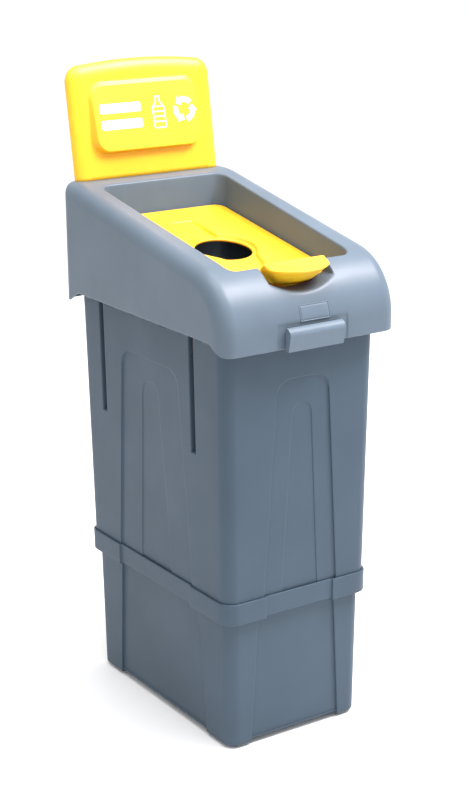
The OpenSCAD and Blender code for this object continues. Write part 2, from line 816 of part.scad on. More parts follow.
// The board's outline: upright sides, round top corners and a shallow arched top
function sign_line(g) = let (
        side = sign_h - 21,
        r = 30,
        rise = 11,
        half = sign_half - r,
        crown = (half*half + rise*rise)/(2*rise),
        a = asin(half/crown))
    concat([[sign_half - g, -20], [sign_half - g, side - r]],
        arc([half, side - r + 10], r - g, 0, 90 - a),
        arc([0, side - r + 10 + r + rise - crown], crown - g, 90 - a, 90 + a, 16),
        arc([-half, side - r + 10], r - g, 90 + a, 180),
        [[g - sign_half, -20]]);

// A flat shape drawn in X and height on the board's front, from depth y0 to y1
module on_board(y0, y1) {
    translate([0, y1, 0]) rotate([90, 0, 0]) linear_extrude(y1 - y0) children();
}

pillow_w = 220;
pillow_low = 46;
pillow_high = 168;
pillow_mid = (pillow_low + pillow_high)/2;
function pillow_line(g) = round_rect(pillow_w - 2*g, pillow_high - pillow_low - 2*g, 26 - g);

// The raised panel's face: its lower edge stands out further than its upper edge
module pillow_frame() {
    tilt = atan((pillow_h - pillow_top)/(pillow_high - pillow_low));
    sign_frame() translate([0, -pillow_h, pillow_low]) rotate([-tilt, 0, 0]) children();
}

// The raised panel from its face, moved in by g, back to the depth y1
module pillow_block(g, y1) {
    intersection() {
        sign_frame() on_board(-2*pillow_h, y1) translate([0, pillow_mid]) polygon(pillow_line(g));
        pillow_frame() translate([-far/4, g, -far/4]) cube([far/2, far/2, far/2]);
    }
}

module sign_board() {
    color(yellow) difference() {
        union() {
            difference() {
                union() {
                    sign_frame() on_board(0, sign_t) polygon(sign_line(0));
                    pillow_block(0, 1);
                }
                sign_frame() difference() {
                    on_board(flange_t, sign_t + 1) polygon(sign_line(flange_t));
                    translate([-sign_half, 0, -20]) cube([2*sign_half, sign_t, 20 + flange_t + 3]);
                }
                pillow_block(flange_t, flange_t + 1);
                translate([-far/2, -far/2, ledge_z - far/4]) cube([far, far, far/4]);
            }
            translate([-flange_half, y_rear + 0.1, ledge_z - flange_h])
                cube([2*flange_half, flange_t, flange_h + flange_t]);
            translate([-flange_half, sign_y + flange_t, ledge_z])
                cube([2*flange_half, y_rear + 0.1 - sign_y, flange_t]);
        }
        sign_screw_places() translate([0, 0, -2]) cylinder(h = 30, r = 2.8, $fn = 24);
    }
}

module sign_screw_places() {
    for (x = [-80, 0, 80])
        translate([x, y_rear + 0.1 + flange_t, sign_screw_z]) rotate([90, 0, 0]) children();
}

module sign_screws() {
    color(steel) sign_screw_places() screw(flange_t + hood_wall + 3, 2.5, 5, 3);
}

// Labels on the raised panel: two plain bars where words would be, a bottle and a loop of arrows
module on_pillow() {
    color(white) pillow_frame() on_board(-label_t, 0) translate([0, pillow_mid - pillow_low]) children();
}

module label_bars() {
    on_pillow() for (bar = [[-54, 16, 84], [-54, -13, 84]])
        translate([bar[0], bar[1]]) polygon(round_rect(bar[2], 17, 4));
}

function bottle_line(g) = concat(arc([9, -25], 4 - g, 270, 360), arc([3, 6], 10 - g, 0, 55),
    [[5 - g, 19], [5 - g, 29 - g], [g - 5, 29 - g], [g - 5, 19]],
    arc([-3, 6], 10 - g, 125, 180), arc([-9, -25], 4 - g, 180, 270));

// A bottle drawn as a line, with bars across it
module bottle_label() {
    stroke = 2;
    on_pillow() translate([24, 3]) difference() {
        polygon(bottle_line(0));
        difference() {
            polygon(bottle_line(stroke));
            for (y = [-18, -9, 0, 9]) translate([-13, y]) square([26, stroke]);
        }
    }
}

// Three arrows that chase each other round a loop
module loop_label() {
    on_pillow() translate([78, 4]) for (a = [0, 120, 240]) rotate(a)
        polygon(concat(arc([0, 0], 23, 40, 115, 10), [[-10.5, 26], [-15.6, 10.9], [-4.2, 7.9]],
            arc([0, 0], 13, 115, 40, 10)));
}

// ---- Sack ring -------------------------------------------------------------------------------

ring_z = rim_z - 12;
ring_w = body_w(ring_z) - 2*body_wall - 2*ring_gap;
ring_d = body_d(ring_z) - 2*body_wall - 2*ring_gap;
ring_bend = 22;

module sack_ring() {
    color(steel) translate([0, 0, ring_z]) {
        for (s = [-1, 1]) {
            translate([s*ring_w/2, 0, 0]) rotate([90, 0, 0])
                cylinder(h = ring_d - 2*ring_bend, r = wire_r, center = true, $fn = 24);
            translate([0, s*ring_d/2, 0]) rotate([0, 90, 0])
                cylinder(h = ring_w - 2*ring_bend, r = wire_r, center = true, $fn = 24);
        }
        for (i = [0:3])
            rotate(i*90) translate([(i % 2 == 0 ? ring_w : ring_d)/2 - ring_bend,
                (i % 2 == 0 ? ring_d : ring_w)/2 - ring_bend, 0])
                rotate_extrude(angle = 90, $fn = 48) translate([ring_bend, 0]) circle(r = wire_r, $fn = 24);
    }
}

// Four hooks on the container's inner walls hold the ring
hook_w = 24;
module sack_hooks() {
    reach = ring_gap + wire_r + 4;
    color(black) both_sides() for (s = [-1, 1]) {
        z = ring_z;
        wall = body_w(z)/2 - body_wall - touch;
        translate([wall, s*ring_d*0.3 + hook_w/2, z]) rotate([90, 0, 0]) linear_extrude(hook_w)
            difference() {
                polygon([[-34*body_tan, -34], [4*body_tan, 4], [-3.5, 4], [-3.5, -4],
                    [1 - reach, -4], [-reach - 3, 1], [-reach - 6, 1], [-reach - 3, -9]]);
                translate([-ring_gap, 0]) circle(r = wire_r + 0.3, $fn = 32);
            }
    }
}

plinth();
plinth_feet();
container();
plinth_screws();
hood();
hinge_bracket(-1);  // hinge_bracket_left
hinge_bracket(1);  // hinge_bracket_right
hinge_pin(-1);  // hinge_pin_left
hinge_pin(1);  // hinge_pin_right
hinge_screws();
latch();
latch_pin();
latch_keeper();
keeper_screws();
badge_plate();
lid();
lid_pin(-1);  // lid_pin_left
lid_pin(1);  // lid_pin_right
sign_board();
sign_screws();
label_bars();
bottle_label();
loop_label();
sack_ring();
sack_hooks();
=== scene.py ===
import json
import math

import bpy
import numpy as np
from bpy.props import FloatProperty, FloatVectorProperty, PointerProperty
from mathutils import Matrix


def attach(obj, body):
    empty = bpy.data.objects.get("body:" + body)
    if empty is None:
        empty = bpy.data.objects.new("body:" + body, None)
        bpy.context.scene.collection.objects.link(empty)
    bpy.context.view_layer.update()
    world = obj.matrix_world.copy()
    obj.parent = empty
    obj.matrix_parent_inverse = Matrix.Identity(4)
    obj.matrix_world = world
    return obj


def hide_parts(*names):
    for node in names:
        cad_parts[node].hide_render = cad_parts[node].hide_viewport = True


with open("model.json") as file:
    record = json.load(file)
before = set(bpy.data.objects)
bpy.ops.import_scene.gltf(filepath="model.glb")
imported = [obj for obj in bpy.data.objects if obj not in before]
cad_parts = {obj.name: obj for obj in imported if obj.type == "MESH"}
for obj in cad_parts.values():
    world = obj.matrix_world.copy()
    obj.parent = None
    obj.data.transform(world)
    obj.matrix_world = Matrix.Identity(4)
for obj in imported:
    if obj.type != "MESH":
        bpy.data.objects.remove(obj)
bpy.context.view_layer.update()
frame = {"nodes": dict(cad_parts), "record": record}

bl_info = {
    "name": "Recycling Bin Station",
    "version": (1, 0, 0),
    "blender": (4, 5, 0),
    "location": "View3D > Sidebar > Bin Station",
    "description": "Shells, finishes and stage for a recycling bin with a hinged hood, a lid and a sign board",
    "category": "Object",
}

# Sizes of the assembly in millimetres, as the frame holds them
RIM_Z = 735.0
BODY_W, BODY_D = 307.0, 473.0
BODY_R, TUB_R = 24.0, 15.0
BODY_TAN = math.tan(math.radians(0.84))
PLINTH_TAN = math.tan(math.radians(0.78))
PLINTH_H, COLLAR_Z, SEAT_Z = 275.0, 239.0, 243.0
PLINTH_R, COLLAR_R = 23.0, 28.4
COLLAR_OUT, COLLAR_OVER, TUB_GAP = 4.4, 10.7, 8.4
UNDER_Z, TUB_Z = 6.0, 20.0
HOOD_W, HOOD_R, REAR_R = 351.0, 28.0, 6.0
HOOD_WALL = 4.0
Y_FRONT, Y_REAR = -265.5, 255.5
SKIRT_Z, SKIRT_RISE = 711.0, 19.0
SLOPE = math.radians(11.0)
ROOF_Z = 879.3
LEDGE_Z = ROOF_Z + 215.5 * math.tan(SLOPE)
BROW_R, BROW_Y = 110.0, -155.5
BROW_Z = ROOF_Z + (BROW_Y - BROW_R * math.sin(SLOPE)) * math.tan(SLOPE) - BROW_R * math.cos(SLOPE)
MOUTH_FRONT, MOUTH_REAR, MOUTH_W, MOUTH_R = -203.5, 190.0, 242.0, 16.0
MOUTH_Z = ROOF_Z + MOUTH_FRONT * math.tan(SLOPE)
BASIN_TAN = math.tan(math.radians(5.1))
LID_SLOPE = math.radians(9.5)
LID_Z = 830.3
LID_DEEP, LID_WALL, LID_REST = 14.0, 4.0, 14.495
PIN_Y, PIN_Z = 167.0, 851.25
HOLE_Y = (MOUTH_FRONT + MOUTH_REAR) / 2 + 1.5
SIGN_Y = 233.0
SIGN_LEAN = math.radians(8.8)
PANEL_LOW, PANEL_HIGH = 46.0, 168.0
HINGE_Y, HINGE_Z, KNUCKLES = 253.5, 702.0, (77.5, 122.5)
LATCH_Y, LATCH_Z = -256.0, 738.0
GRIP_TOP, EAR_X, EAR_THICK = 747.0, 50.5, 7.0
FLANGE_HALF, FLANGE_LOW, FLANGE_REAR = 110.0, 885.2, 259.6


# ---- Surfaces ----


def smooth(x):
    """Smooth step: 3x^2 - 2x^3 of x held between 0 and 1."""
    x = np.clip(x, 0.0, 1.0)
    return x * x * (3 - 2 * x)


def soft_min(a, b, k):
    """The lesser of a and b, with a parabola of width k over the corner between them."""
    h = np.clip(0.5 + 0.5 * (b - a) / k, 0, 1)
    return b * (1 - h) + a * h - k * h * (1 - h)


def join(*parts):
    """Coordinates side by side as the last axis."""
    return np.stack(parts, -1)


def unit(n):
    """n even positions from 0 to 1."""
    return np.linspace(0, 1, n)


def quarter(n):
    """n even angles from 0 to a right angle."""
    return np.linspace(0, math.pi / 2, n)


def steps(keys, counts):
    """Positions along each row: between key i and key i + 1, counts[i] equal steps. keys is (rows, k)."""
    parts = [
        keys[:, i : i + 1] + (keys[:, i + 1 : i + 2] - keys[:, i : i + 1]) * np.arange(n) / n
        for i, n in enumerate(counts)
    ]
    return np.concatenate(parts + [keys[:, -1:]], axis=1)


def levels(*spans):
    """One run of numbers from (start, stop, steps) spans that follow one another, ends counted once."""
    runs = [np.linspace(a, b, n + 1)[:-1] for a, b, n in spans]
    return np.concatenate(runs + [[spans[-1][1]]])


def perimeter(half_w, half_d, r, side_y, face_x, corner=10):
    """Rounded rectangles, one per row, run anticlockwise from above: the right side at x = half_w with its
    y positions side_y, a quarter circle of radius r, the rear face with face_x backwards, a quarter circle,
    and the same again by half a turn. Returns points (rows, columns, 2), outward normals, the position
    along each face, and the face kind (0 side, 1 front or rear, 2 corner) of every column."""
    hw, hd, rr = half_w[:, None], half_d[:, None], r[:, None]
    a = quarter(corner + 2)[None, 1:-1]
    one_s, one_f = np.ones_like(side_y), np.ones_like(face_x)
    c, s = np.cos(a) + 0 * hw, np.sin(a) + 0 * hw

    def half(sign):
        """Points, normals and positions along the faces of the half on the side of sign."""
        pts = [join(sign * hw * one_s, sign * side_y),
               join(sign * (hw - rr + rr * c), sign * (hd - rr + rr * s)),
               join(-sign * face_x, sign * hd * one_f),
               join(sign * (-hw + rr - rr * s), sign * (hd - rr + rr * c))]
        nrm = [join(sign * one_s, 0 * one_s), sign * join(c, s),
               join(0 * one_f, sign * one_f), sign * join(-s, c)]
        return pts, nrm, [sign * side_y, 0 * c, -sign * face_x, 0 * c]

    both = [np.concatenate(u + v, axis=1) for u, v in zip(half(1.0), half(-1.0))]
    kind = np.repeat([0, 2, 1, 2], [side_y.shape[1], corner, face_x.shape[1], corner])
    return (*both, np.tile(kind, 2))


class Shell:
    """Points in millimetres with quads and triangles, gathered from several surfaces."""

    def __init__(self):
        self.points, self.quads, self.tris, self.count = [], [], [], 0

    def rings(self, p, wrap=False, start=None, end=None):
        """Rings of points (rows, columns, 3) joined into quads. Each ring runs anticlockwise about the way
        that the rows advance. wrap joins the last ring to the first; start and end are pole points."""
        rows, cols = p.shape[:2]
        i = self.count + np.arange(rows * cols).reshape(rows, cols)
        nxt = np.roll(i, -1, axis=1)
        if wrap:
            lo, hi = i, np.roll(i, -1, axis=0)
            lo_n, hi_n = nxt, np.roll(nxt, -1, axis=0)
        else:
            lo, hi, lo_n, hi_n = i[:-1], i[1:], nxt[:-1], nxt[1:]
        self.quads.append(np.stack([lo, lo_n, hi_n, hi], -1).reshape(-1, 4))
        self.points.append(p.reshape(-1, 3))
        self.count += rows * cols
        for pole, ring, turn in ((start, i[0], 1), (end, i[-1], -1)):
            if pole is not None:
                k = np.full(cols, self.count)
                n = np.roll(ring, -1)
                fan = [k, n, ring] if turn == 1 else [k, ring, n]
                self.tris.append(np.stack(fan, -1))
                self.points.append(np.array(pole, float).reshape(1, 3))
                self.count += 1
        return self

    def make(self, name, material):
        """A Blender object of the gathered surfaces, in metres, shaded smooth."""
        pts = np.concatenate(self.points) * 0.001
        faces = np.concatenate(self.quads).tolist() if self.quads else []
        faces += np.concatenate(self.tris).tolist() if self.tris else []
        mesh = bpy.data.meshes.new(name)
        mesh.from_pydata(pts.tolist(), [], faces)
        mesh.polygons.foreach_set("use_smooth", np.ones(len(mesh.polygons), bool))
        mesh.materials.append(material)
        mesh.update()
        mesh.validate()
        obj = bpy.data.objects.new(name, mesh)
        bpy.context.scene.collection.objects.link(obj)
        return obj


def lift(xy, z):
    """Plan points (rows, columns, 2) with heights, one per row or per point, as (rows, columns, 3)."""
    z = np.asarray(z, float)
    z = z[:, None] * np.ones(xy.shape[1]) if z.ndim == 1 else z
    return np.concatenate([xy, z[..., None]], -1)


def ring(xy, z):
    """Plan points (columns, 2) with a height, one for all or one per point, as (columns, 3)."""
    return np.concatenate([xy, (z * np.ones(len(xy)))[:, None]], -1)


def roundover(a, b, c, n):
    """Points of the parabola from a to c that is tangent to a-b and b-c, (n + 1, columns, 3)."""
    k = np.linspace(0, 1, n + 1)[:, None, None]
    return (1 - k) ** 2 * a + 2 * k * (1 - k) * b + k * k * c


def arc(cx, cz, r, a0, a1, n):
    """n - 1 points of an arc of radius r about (cx, cz), from angle a0 up to a1, which is left out."""
    a = np.linspace(a0, a1, n)[:-1]
    return join(cx + r * np.cos(a), cz + r * np.sin(a))


def add_turned(shell, centre, profile, n=48):
    """Adds a profile of (x, radius) rows turned about a line along x through centre. The first and last
    rows close on poles."""
    a = np.linspace(0, 2 * math.pi, n, endpoint=False)[None, :]
    x, r = np.array(profile, float).T[..., None]
    c = np.array(centre, float)
    p = join(x + 0 * a, r * np.cos(a), r * np.sin(a)) + c
    shell.rings(p, start=c + (x[0, 0], 0, 0), end=c + (x[-1, 0], 0, 0))


def add_bar(shell, lo, hi, r=1.0):
    """Adds a box between two corners with its edges rounded by r, as rings that rise in z: rounded
    rectangles that shrink by r over the first and last r of the height."""
    lo, hi = np.array(lo, float), np.array(hi, float)
    a = quarter(5)
    z = np.concatenate([lo[2] + r - r * np.cos(a), hi[2] - r + r * np.sin(a)])
    inset = np.concatenate([r - r * np.sin(a), r - r * np.cos(a)])
    hw, hd = (hi[0] - lo[0]) / 2 - inset, (hi[1] - lo[1]) / 2 - inset
    rr = r - inset * 0.9
    ends = np.array([[-1.0, 1.0]])
    xy = perimeter(hw, hd, rr, (hd - rr)[:, None] * ends, (hw - rr)[:, None] * ends, corner=3)[0]
    mid = (lo + hi) / 2
    shell.rings(lift(xy + mid[:2], z), start=(mid[0], mid[1], lo[2]), end=(mid[0], mid[1], hi[2]))


# ---- Container ----

# Arched panels: half width, its growth per millimetre down, the height of that width, top, corner radius
SIDE_WIDE = (92.5, 0.0815, 620.0, 650.0, 30.0)
FACE_WIDE = (53.0, 0.0634, 620.0, 650.0, 30.0)
SIDE_NARROW = (27.5, 0.0698, 590.0, 611.0, 27.5)
FACE_NARROW = (19.5, 0.056, 585.0, 606.0, 20.5)
SIDE_DEPTHS, FACE_DEPTHS = (3.0, 1.3), (3.4, 1.4)
FACE_SHIFT = 3.5
# Half width of a step's slope, and how far its supports stand off
SOFT, NEAR = 0.55, 1.6
# Upright slots of the sides: where their middles lie, their half width, depth and foot
SLOTS = (-137.0, 158.0)
SLOT_HALF, SLOT_DEPTH, SLOT_FOOT = 7.2, 14.0, 520.0
SLOT_EDGES = tuple(sorted((abs(q) + k * SLOT_HALF for q in SLOTS for k in (1, -1)), reverse=True))


def body_half(z):
    """Half width and half depth of the container's outer faces at height z."""
    return BODY_W / 2 - BODY_TAN * (RIM_Z - z), BODY_D / 2 - BODY_TAN * (RIM_Z - z)


def collar_half(z):
    """Half width and half depth of the collar's outer faces at height z: the container and COLLAR_OUT."""
    w, d = body_half(z)
    return w + COLLAR_OUT, d + COLLAR_OUT


def plinth_half(z):
    """Half width and half depth of the plinth under its collar at height z, drawn in by COLLAR_OVER."""
    w, d = collar_half(COLLAR_Z)
    less = COLLAR_OVER + PLINTH_TAN * (COLLAR_Z - z)
    return w - less, d - less


def tub_half(z):
    """Half width and half depth of the container's foot at height z: TUB_GAP inside the plinth's faces."""
    w, d = plinth_half(z)
    return w - TUB_GAP, d - TUB_GAP


def panel_half(panel, z):
    """Half width of an arched panel at height z: it grows evenly towards the floor, and stays the same
    above the foot of the panel's top corners."""
    half, growth, at, top, r = panel
    return half + growth * (at - np.minimum(z, top - r))


def arch_mask(along, z, panel):
    """1 inside an arched panel and 0 outside, over a slope SOFT wide each side of its outline, which has
    straight sides and round top corners."""
    top, r = panel[3:]
    qx, qz = np.abs(along) - (panel_half(panel, z) - r), z - (top - r)
    inside = r - np.hypot(np.maximum(qx, 0), np.maximum(qz, 0)) - np.minimum(np.maximum(qx, qz), 0)
    return smooth((inside + SOFT) / (2 * SOFT))


def columns(one, marks):
    """Positions along each row through marks of (position, steps to the next mark, whether it is an edge).
    An edge takes a support, the two ends of its slope with four steps between them, and a support."""
    keys, counts = [], []
    for q, n, is_edge in marks:
        keys += [q - SOFT - NEAR, q - SOFT, q + SOFT, q + SOFT + NEAR] if is_edge else [q]
        counts += [1, 4, 1, n] if is_edge else [n]
    return steps(np.stack([k * one for k in keys], 1), counts[:-1])


def container_columns(z):
    """Column positions on the side and the front face at each height z, following the panels' edges."""
    w, d = body_half(z)
    p, n = panel_half(SIDE_WIDE, z), panel_half(SIDE_NARROW, z)
    side = [(BODY_R - d, 3, False)] + [(-q, 2, True) for q in SLOT_EDGES]
    side += [(-p, 18, True), (-p + 30.0, 6, False), (-n, 26, True)]
    side += [(n, 6, True), (p - 30.0, 18, False), (p, 3, True)]
    side += [(q, 2, True) for q in reversed(SLOT_EDGES)] + [(d - BODY_R, 0, False)]
    p, n, m = panel_half(FACE_WIDE, z), panel_half(FACE_NARROW, z), FACE_SHIFT
    face = [(BODY_R - w, 4, False), (m - p, 14, True), (m + 30.0 - p, 3, False), (m - n, 20, True),
            (m + n, 3, True), (m + p - 30.0, 14, False), (m + p, 4, True), (w - BODY_R, 0, False)]
    return columns(np.ones_like(z), side), columns(np.ones_like(z), face)


def drawn_in(zs, half_fn, inset, r):
    """Heights zs with the half width, half depth and corner radius of half_fn's form, moved in by inset."""
    zs = np.asarray(zs, float)
    inset = np.asarray(inset, float) * np.ones_like(zs)
    hw, hd = half_fn(zs)
    return zs, hw - inset, hd - inset, np.maximum(r - inset, 1.0)


def plain_rings(zs, half_fn, inset, r, cols):
    """Rings with no panels at heights zs: half_fn's form moved in by inset, with its corners' radius r
    less that inset, and the first row of cols stretched to the straight lengths of each ring."""
    zs, hw, hd, rr = drawn_in(zs, half_fn, inset, r)
    side, face = cols[0][:1], cols[1][:1]
    side, face = side / side.max() * (hd - rr)[:, None], face / face.max() * (hw - rr)[:, None]
    return lift(perimeter(hw, hd, rr, side, face)[0], zs)


def container_shell():
    """The container as one closed sheet of rings: its nested foot, the panelled outer wall, the round rim,
    the inner wall and the floor. Panels and slots are steps of the wall along its normal. The side panels
    grow shallower towards their top and the front."""
    z = levels((SEAT_Z, 516.5, 12), (516.5, 518.6, 1), (518.6, 521.4, 5), (521.4, 523.5, 1), (523.5, 578.0, 3),
               (578.0, 612.5, 34), (612.5, 618.0, 3), (618.0, 652.5, 34), (652.5, RIM_Z - 3.5, 5))
    cols = container_columns(z)
    w, d = body_half(z)
    xy, nrm, along, kind = perimeter(w, d, np.full(len(z), BODY_R), *cols)
    zz = z[:, None] * np.ones(xy.shape[1])
    on_side, on_face = (kind == 0)[None, :], (kind == 1)[None, :]
    fade = 1.0 - 0.75 * smooth((60.0 - xy[..., 1]) / 110.0) * smooth((zz - 380.0) / 180.0)
    across = np.abs(xy[..., 0] + np.sign(xy[..., 1]) * FACE_SHIFT)
    cut = np.zeros_like(zz)
    for panel, depth in zip((SIDE_WIDE, SIDE_NARROW), SIDE_DEPTHS):
        cut += on_side * depth * fade * arch_mask(along, zz, panel)
    for panel, depth in zip((FACE_WIDE, FACE_NARROW), FACE_DEPTHS):
        cut += on_face * depth * arch_mask(across, zz, panel)
    for q in SLOTS:
        slot = smooth((SLOT_HALF - np.abs(xy[..., 1] - q) + SOFT) / (2 * SOFT))
        slot = slot * smooth((zz - SLOT_FOOT + 1.0) / 2.0)
        cut = np.where(on_side, np.maximum(cut, SLOT_DEPTH * slot), cut)
    body = lift(xy - nrm * cut[..., None], z)
    foot = plain_rings([TUB_Z, TUB_Z, TUB_Z + 0.9, TUB_Z + 3.0, 60.0, SEAT_Z], tub_half,
                       [20.0, 3.0, 0.9, 0.0, 0.0, 0.0], TUB_R, cols)
    a = np.linspace(0, math.pi, 9)
    rim = plain_rings(RIM_Z - 3.5 + 3.5 * np.sin(a), body_half, 3.5 - 3.5 * np.cos(a), BODY_R, cols)
    inner_z = np.concatenate([[731.0], np.linspace(722.0, 690.0, 9), [600.0], np.linspace(540.0, 492.0, 9),
                              [400.0, 256.0, 250.6, 250.0]])
    inset = np.concatenate([np.full(len(inner_z) - 2, 7.0), [7.8, 10.0]])
    inner = plain_rings(inner_z, body_half, inset, BODY_R, cols)
    # the inner wall swells behind each slot
    swell = 12.0 * smooth((718.0 - inner_z) / 14.0) * smooth((inner_z - 500.0) / 14.0)
    for q in SLOTS:
        beside = smooth((24.0 - np.abs(inner[..., 1] - q)) / 12.0)
        inner[..., 0] -= np.sign(inner[..., 0]) * on_side * swell[:, None] * beside
    low = plain_rings([250.0, 249.0, 240.0, 60.0, 31.0, 28.0, 27.0, 27.0], tub_half,
                      [4.0, 6.6, 7.0, 7.0, 7.0, 8.2, 11.0, 40.0], TUB_R, cols)
    every = np.concatenate([foot, body, rim, inner, low])
    return Shell().rings(every, start=(0, 0, TUB_Z), end=(0, 0, 27.0))


# ---- Plinth ----

# Half lengths of the sunk faces at a height, their growth per millimetre down and that height
SIDE_SUNK, FACE_SUNK = (129.0, 0.0759, 234.0), (79.0, 0.0583, 231.0)
COLLAR_SUNK = (118.5, 69.0)
SUNK_DEPTH, COLLAR_STEP = 4.0, 3.4
SUNK_RAISE, POST_DROP = 5.0, 2.6


def plinth_columns(q_side, q_face, w, d, r):
    """Column positions on the side and the front face, following the edges of the sunk faces."""
    side = [(r - d, 4, False), (-q_side, 6, True), (-25.0, 3, False), (-7.0, 6, False), (q_side, 4, True),
            (d - r, 0, False)]
    face = [(r - w, 4, False), (-q_face, 10, True), (q_face, 4, True), (w - r, 0, False)]
    return columns(np.ones_like(w), side), columns(np.ones_like(w), face)


def sunk_mask(along, kind, q_side, q_face):
    """1 on the sunk faces and 0 on the posts at the corners, over a slope SOFT wide each side."""
    parts = [(kind == k) * smooth((q[:, None] - np.abs(along) + SOFT) / (2 * SOFT))
             for k, q in ((0, q_side), (1, q_face))]
    return parts[0] + parts[1]


def stepped_rings(zs, half_fn, inset, r, sunk, depth, drop=0.0):
    """Rings at heights zs whose sunk faces, of half lengths sunk, lie depth behind the posts, and whose
    posts are lowered by drop."""
    zs, hw, hd, rr = drawn_in(zs, half_fn, inset, r)
    qs, qf = [np.full(len(zs), q) for q in sunk]
    xy, nrm, along, kind = perimeter(hw, hd, rr, *plinth_columns(qs, qf, hw, hd, rr))
    part = sunk_mask(along, kind, qs, qf)
    heights = zs[:, None] - (drop * np.ones_like(zs))[:, None] * (1.0 - part)
    return lift(xy - nrm * (part * depth)[..., None], heights)


def plinth_shell():
    """The plinth as one closed sheet of rings: the floor, the posts and sunk faces, the collar with its
    stepped sections, the seat and the inside. The sunk faces' lower edge is raised, and the collar's
    lower edge is dropped at the posts."""
    z = levels((8.0, 14.0, 2), (14.0, 232.0, 8), (232.0, COLLAR_Z - 0.4, 3))
    w, d = plinth_half(z)
    side_q, face_q = [half + growth * (at - z) for half, growth, at in (SIDE_SUNK, FACE_SUNK)]
    cols = plinth_columns(side_q, face_q, w, d, PLINTH_R)
    xy, nrm, along, kind = perimeter(w, d, np.full(len(z), PLINTH_R), *cols)
    sunk = sunk_mask(along, kind, side_q, face_q)
    fade = smooth((z - 8.0) / 3.0)[:, None]
    skin = lift(xy - nrm * (sunk * SUNK_DEPTH * (0.3 + 0.7 * fade))[..., None], z)
    skin[..., 2] += SUNK_RAISE * sunk * np.clip((14.0 - z) / 6.0, 0, 1)[:, None]
    foot = stepped_rings([UNDER_Z, UNDER_Z, UNDER_Z + 0.6], plinth_half, [30.0, 2.0, 0.6], PLINTH_R,
                         (side_q[0], face_q[0]), 0.3 * SUNK_DEPTH)
    foot[..., 2] += SUNK_RAISE * sunk[:1]
    a = quarter(6)
    lip_r, inner = 0.9, (COLLAR_SUNK, COLLAR_STEP - 0.8)
    collar = stepped_rings(
        np.concatenate([[COLLAR_Z], COLLAR_Z + 1.6 - 1.6 * np.cos(a), [250.0, 265.0],
                        PLINTH_H - 1.4 + 1.4 * np.sin(a)]),
        collar_half,
        np.concatenate([[7.0], 1.6 - 1.6 * np.sin(a), [0, 0], 1.4 - 1.4 * np.cos(a)]),
        COLLAR_R, COLLAR_SUNK, COLLAR_STEP, np.concatenate([np.full(7, POST_DROP), np.zeros(8)]))
    lip = stepped_rings(PLINTH_H - lip_r + lip_r * np.cos(a), collar_half, 3.1 + lip_r * np.sin(a), COLLAR_R,
                        *inner)
    inside = stepped_rings([272.0, 260.0, SEAT_Z + 0.8, SEAT_Z], collar_half, [4.0, 4.0, 4.0, 5.0], COLLAR_R,
                           *inner)
    cavity = plain_rings([SEAT_Z, SEAT_Z - 1.0, 200.0, 20.0, 13.0, 12.0, 12.0], plinth_half,
                         [7.0, 8.0, 8.0, 8.0, 8.4, 10.0, 40.0], PLINTH_R, cols)
    every = np.concatenate([foot, skin, collar, lip, inside, cavity])
    return Shell().rings(every, start=(0, 0, UNDER_Z), end=(0, 0, 12.0))


# ---- Hood ----


def hood_height(x, y, t):
    """Height of the hood's closed outer form, moved in by t, over plan points. Seen from the side the form
    is an arc about (BROW_Y, BROW_Z), a line at SLOPE and a level ledge, each moved in along its normal by
    what the round long edge of radius HOOD_R takes off at that x; a radius of REAR_R closes the rear edge."""
    r = HOOD_R - t
    e = np.clip(np.abs(x) - (HOOD_W / 2 - HOOD_R), 0, r)
    off = t + r - np.sqrt(np.maximum(r * r - e * e, 0))
    reach = BROW_R - off
    brow = BROW_Z + np.sqrt(np.maximum(reach**2 - (BROW_Y - y) ** 2, 0))
    line = ROOF_Z + y * math.tan(SLOPE) - off / math.cos(SLOPE)
    tangent = BROW_Y - reach * math.sin(SLOPE)
    z = soft_min(np.where(y < tangent, brow, line), LEDGE_Z - off, 3.0)
    rear = np.clip(REAR_R - (Y_REAR - off - y), 0, REAR_R)
    return z - (REAR_R - np.sqrt(np.maximum(REAR_R**2 - rear**2, 0)))


def pocket_floor(x, y, t):
    """Height of the finger pocket's floor: a dish that rises with the square of x and towards the rear."""
    return 790.8 - t + 16.0 * (np.abs(x) / 62.0) ** 2 + 6.0 * smooth((y + 276.0) / 36.0)


def skirt_low(x, y):
    """Height of the skirt's edge: raised by SKIRT_RISE along the sides, with a slanted end at each corner,
    and cut up to the grip's top where the latch sits."""
    front = smooth((y - (Y_FRONT + 3.0)) / 43.0)
    rear = smooth(((Y_REAR - 16.0) - y) / 43.0)
    z = SKIRT_Z + SKIRT_RISE * np.minimum(front, rear)
    notch = smooth((50.8 - np.abs(x)) / 1.6) * (y < -240.0)
    return z + (GRIP_TOP - 1.5 - z) * notch


